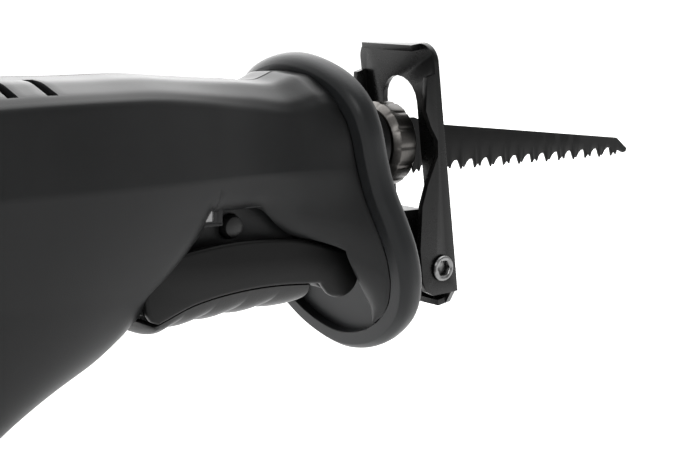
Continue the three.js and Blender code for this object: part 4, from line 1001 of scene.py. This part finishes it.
# ------------------------------------------------ trigger
def makeTrigger():
    tailX = trigger["tail"]
    xs = np.linspace(tailX + 4.5, -34, 60)
    low = np.column_stack([xs, line("paddleLow", xs)])
    nose = np.array(arcPoints(trigger["pivot"], trigger["nose"], 232, 458, 40))
    xs = np.linspace(-33, tailX + 2, 60)
    high = np.column_stack([xs, line("paddleTop", xs)])
    end = np.array([(tailX + 0.5, -29.2), (tailX, -31.5), (tailX, -38), (tailX + 0.6, -41.5),
                    (tailX + 2.2, -43.8)])
    wall = resample(np.vstack([low, nose, high, end]), 260)
    floorX = np.linspace(tailX + 4.5, -38, 60)
    floorLow = np.column_stack([floorX, line("paddleLow", floorX) + 0.02])
    floorHigh = floorLow[::-1] + [0, trigger["floor"]]
    half, inner = trigger["half"], trigger["half"] - trigger["wall"]
    tailWall = boxOutline((tailX + 0.1, -42), (tailX + 3, -29.4), 0.6)
    parts = [
        roundedPlate("left", wall, (inner, half), trigger["round"], inXZ),
        roundedPlate("right", wall, (-half, -inner), trigger["round"], inXZ),
        roundedPlate("floor", np.vstack([floorLow, floorHigh]), (-inner - 0.5, inner + 0.5), 0.1, inXZ),
        roundedPlate("tail", tailWall, (-inner - 0.5, inner + 0.5), 0.1, inXZ),
    ]
    finishPiece(mergeObjects("triggerPaddle", parts), "trigger_paddle")
    grip = []
    front, back = trigger["gripFront"], trigger["tail"] + 3.5
    for x in np.linspace(back, front, 150):
        end = min(x - back, front - x)
        tuck = 1.6 * (1 - math.sqrt(max(0.0, 1 - max(0.0, 1 - end / 1.6) ** 2)))
        phase = (x - front) / (front - back) * trigger["ribs"]
        scallop = trigger["ribDepth"] * abs(math.sin(math.pi * phase)) ** 0.8
        bottom = float(line("gripLow", np.array([x]))[0]) + trigger["ribDepth"] - scallop + tuck
        ceiling = float(line("paddleLow", np.array([x]))[0]) - 0.3
        a = np.linspace(0, 2 * math.pi, 48, endpoint=False)
        y = (trigger["half"] - 0.8 - tuck) * np.sign(np.cos(a)) * np.abs(np.cos(a)) ** 0.85
        z = np.where(np.sin(a) >= 0, ceiling - 0.02 * np.sin(a),
                     ceiling + np.abs(np.sin(a)) ** 0.9 * (bottom - ceiling))
        slant = (z - ceiling) * trigger["ribSlant"] * min(1.0, end / 8)
        grip.append(np.column_stack([x + slant, y, z]))
    finishPiece(gridMesh("triggerGrip", np.array(grip), closeV=True, capU=True), "trigger_grip")
    pin = turnedPiece("triggerPin", [(-15.2, 0.01), (-15.2, 2), (15.2, 2), (15.2, 0.01)], "y",
                      (trigger["pivot"][0], 0, trigger["pivot"][1]), 32)
    finishPiece(pin, "trigger_pin")
    x, z = recess["buttonAt"]
    r, low, high = recess["buttonRadius"], -14.7, 11.7
    profile = [(low, 0.01), (low, r - 1.2), (low + 0.3, r - 0.4), (low + 1.1, r), (-4, r),
               (-4, r - 1.1), (4, r - 1.1), (4, r), (high - 1.1, r), (high - 0.3, r - 0.4),
               (high, r - 1.2), (high, 0.01)]
    finishPiece(turnedPiece("lockOffButton", profile, "y", (x, 0, z), 48), "lock_off_button")
    print("trigger made")


# ------------------------------------------------ blade clamp
clamp = {"ringRadius": 13.75, "ringLength": 9.3, "ringBore": 9.3, "flutes": 14, "fluteDepth": 0.3,
         "sleeve": 11.6, "sleeveLength": 17.0, "nose": 10.2, "rod": 5.3, "slotHalf": 0.95,
         "slotTall": 5.3, "jaw": 9.0, "jawRear": -6.5}


def makeClamp():
    c = clamp
    flat = c["ringRadius"]
    profile = [(0, c["ringBore"]), (0, flat - 1.9), (0.25, flat - 1.6), (1.5, flat - 0.2),
               (1.8, flat), (c["ringLength"] - 1.6, flat), (c["ringLength"] - 1.3, flat - 0.1),
               (c["ringLength"] - 0.2, flat - 1.3), (c["ringLength"], flat - 1.7),
               (c["ringLength"], c["ringBore"] + 0.6), (c["ringLength"] - 0.5, c["ringBore"])]

    def fluted(angle, along, radius):
        wave = np.abs(np.cos(c["flutes"] * angle / 2)) ** 20
        middle = (along > 1.0) & (along < c["ringLength"] - 0.8) & (radius > flat - 0.6)
        return radius - np.where(middle, c["fluteDepth"] * wave, 0)

    finishPiece(turnedPiece("clampRing", profile, "x", (0, 0, 0), 224, fluted), "clamp_ring")
    bore, r = c["rod"], c["sleeve"]
    sleeve = [(-c["sleeveLength"] + 8, bore), (-c["sleeveLength"], bore), (-c["sleeveLength"], r - 0.8),
              (-c["sleeveLength"] + 0.8, r), (-1.0, r), (-0.3, r - 0.5), (-0.3, 9), (-0.3, 6.2),
              (-1, 6.2), (-6, 6.2), (-7, 5.6), (-8.2, bore)]
    finishPiece(turnedPiece("clampSleeve", sleeve, "x", (0, 0, 0), 72), "clamp_sleeve")
    nose = []
    for side in (1, -1):
        a = np.radians(np.linspace(6.2, 173.8, 40)) * side
        jaw = np.column_stack([c["jaw"] * np.sin(a), c["jaw"] * np.cos(a)])
        jaw = np.array([(side * max(abs(u), c["slotHalf"]), v) for u, v in jaw])
        cheek = np.array([(side * c["slotHalf"], -8.9), (side * c["slotHalf"], 8.9)])
        outline = resample(np.vstack([jaw, cheek]), 90)
        nose.append(roundedPlate("jaw", outline, (c["jawRear"], c["nose"]), 0.5, inYZ))
    for z in (1, -1):
        edge = boxOutline((-1.4, c["slotTall"]), (1.4, 8.6), 0.3)
        span = (c["jawRear"], c["nose"] - 0.2)
        nose.append(roundedPlate("bridge", edge * [1, z], span, 0.2, inYZ))
    finishPiece(mergeObjects("clampJaws", nose), "clamp_sleeve")
    rodX = boxMm("slider_rod")
    low, high = rodX[0][0], rodX[1][0]
    rod = [(low, 0.01), (low, 4.4), (low + 0.6, 5), (high - 0.6, 5), (high, 4.4), (high, 0.01)]
    finishPiece(turnedPiece("sliderRod", rod, "x", (0, 0, 0), 64), "slider_rod")
    print("clamp made")


# ------------------------------------------------ shoe, screws and battery
bolt = {"at": (16.5, -39.9), "face": -19.6, "inner": -18.5, "headRadius": 4.2, "socket": 2.6,
        "socketDepth": 2.4, "end": 21.9}
polishing = {"shoe": 0.4, "shoe_arm": 0.5, "shoe_pivot_nut": 0.3, "arm_screw_1": 0.2, "arm_screw_2": 0.2,
             "battery_tray": 0.8, "battery_lid": 0.8, "battery_button_left": 0.35,
             "battery_button_right": 0.35, "clamp_pin": 0.2}


def hexRadius(angle, across):
    turn = np.mod(angle, math.pi / 3) - math.pi / 6
    return across / np.cos(turn)


def makePivotBolt():
    b = bolt
    face, inner, head, hexWide = b["face"], b["inner"], b["headRadius"], b["socket"]
    floor = face + b["socketDepth"]
    profile = [(b["end"], 0.01), (b["end"], 1.6), (b["end"] - 0.4, 2), (floor + 1, 2), (floor + 1, 3.4),
               (inner, 3.4), (inner, head - 0.2), (inner - 0.2, head), (face + 0.45, head),
               (face + 0.1, head - 0.25), (face, head - 0.6), (face, hexWide + 0.75),
               (face + 0.15, hexWide + 0.25), (face + 0.4, hexWide), (floor, hexWide),
               (floor + 0.4, 0.01)]

    def shaped(angle, along, radius):
        socket = (along < floor + 0.1) & (radius < hexWide + 0.5) & (radius > 1)
        return np.where(socket, hexRadius(angle, radius) * 0.93, radius)

    finishPiece(turnedPiece("pivotBolt", profile, "y", (b["at"][0], 0, b["at"][1]), 96, shaped),
                "shoe_pivot_bolt")


def makeScrewCups():
    cups = []
    for x, z in screwHoles:
        seat = float(min(line("half", np.array([x]))[0], body["half"])) - screwHole["seatBelow"]
        rim = max(seat + 0.5, skinOver[x, z] - 1.0)
        cups.append(turnedPiece("cup", [
            (seat - 1.6, 1.8), (seat - 1.6, screwHole["wall"]), (rim, screwHole["wall"]),
            (rim, screwHole["radius"]), (seat, screwHole["radius"]), (seat, 1.8)],
            "y", (x, 0, z), 48))
    finishPiece(mergeObjects("screwCups", cups), "housing_left")
    for i in range(len(screwHoles)):
        polished("housing_screw_%d" % (i + 1), 0.25)


def makeSmallPieces():
    makePivotBolt()
    makeScrewCups()
    for node, width in polishing.items():
        polished(node, width)
    print("shoe, screws and battery made")


# ------------------------------------------------ blade
bladeCut = {"half": 0.65, "height": 19.2, "tip": 128.0, "first": 19.6, "toothLine": -10.8, "pitch": 7.17,
            "depth": 3.0, "backDrop": 3.2, "tipHeight": 5.6, "shank": 5.0, "front": 10.7, "set": 0.32}


def makeBlade():
    b = bladeCut
    low, root = b["toothLine"], b["toothLine"] + b["depth"]
    top = low + b["height"]
    count = int((b["tip"] - 3 - b["first"]) / b["pitch"]) + 1
    teeth = []
    for i in range(count):
        x = b["first"] + i * b["pitch"]
        teeth.append((x - 1.25, root + 0.1, 0.0))
        teeth.append((x - 0.75, root - 0.9, 0.3))
        teeth.append((x + 0.05, low, 1.0))
        teeth.append((x + 0.95, low + 1.25, 0.3))
        teeth.append((x + 1.45, low + 1.45, -0.3))
        teeth.append((x + 2.05, low + 0.5, -1.0))
        teeth.append((x + 2.9, low + 2.2, -0.2))
        if i < count - 1:
            teeth.append((x + b["pitch"] * 0.56, root + 0.15, 0.0))
            teeth.append((x + b["pitch"] * 0.7, root + 0.3, 0.0))
    lower = [(-6, -b["shank"], 0), (b["front"], -b["shank"], 0), (b["front"] + 0.3, low + 1.2, 0),
             (b["first"] - b["pitch"] * 0.5, root + 0.1, 0)] + teeth
    nose = [(b["tip"] - 1.6, low + 0.9, 0), (b["tip"] - 0.3, low + 1.2, 0), (b["tip"], low + 2.2, 0)]
    lower += nose
    upperLine = [[-6, b["shank"]], [b["front"] - 0.2, b["shank"]], [b["front"] + 0.2, top - 0.4],
                 [19, top - 0.4], [24, top - b["backDrop"] + 0.9], [34, top - b["backDrop"] - 0.4],
                 [b["tip"] - 5.5, low + b["tipHeight"] + 1.2], [b["tip"] + 0.1, low + 2.6]]
    lower = np.array(lower)
    ux, uz = np.array(upperLine).T
    rows = []
    x = lower[:, 0]
    high = np.interp(x, ux, uz)
    hand = np.zeros(len(lower))
    for k in range(len(lower)):
        tooth = int(round((x[k] - b["first"]) / b["pitch"]))
        hand[k] = (1, -1)[tooth % 2] * lower[k, 2]
    for share in (0, 0.12, 0.5, 0.94, 1.0):
        z = lower[:, 1] * (1 - share) + high * share
        rows.append((x, z, share))
    outline = []
    for side in (1, -1):
        span = rows if side > 0 else rows[::-1]
        for px, pz, share in span:
            thin = b["half"] * (0.55 if share in (0, 1.0) else 1)
            shift = hand * b["set"] * max(0.0, 1 - share * 7)
            outline.append(np.column_stack([px, side * thin + shift, pz]))
    points = np.stack(outline, 1)
    finishPiece(gridMesh("blade", points, closeV=True, capU=True), "blade")
    print("blade made")


makeCamera()
makeStage()
dressCadNodes()
makeHousing()
makeRecess()
makeGuard()
makeTrigger()
makeClamp()
makeBlade()
makeSmallPieces()
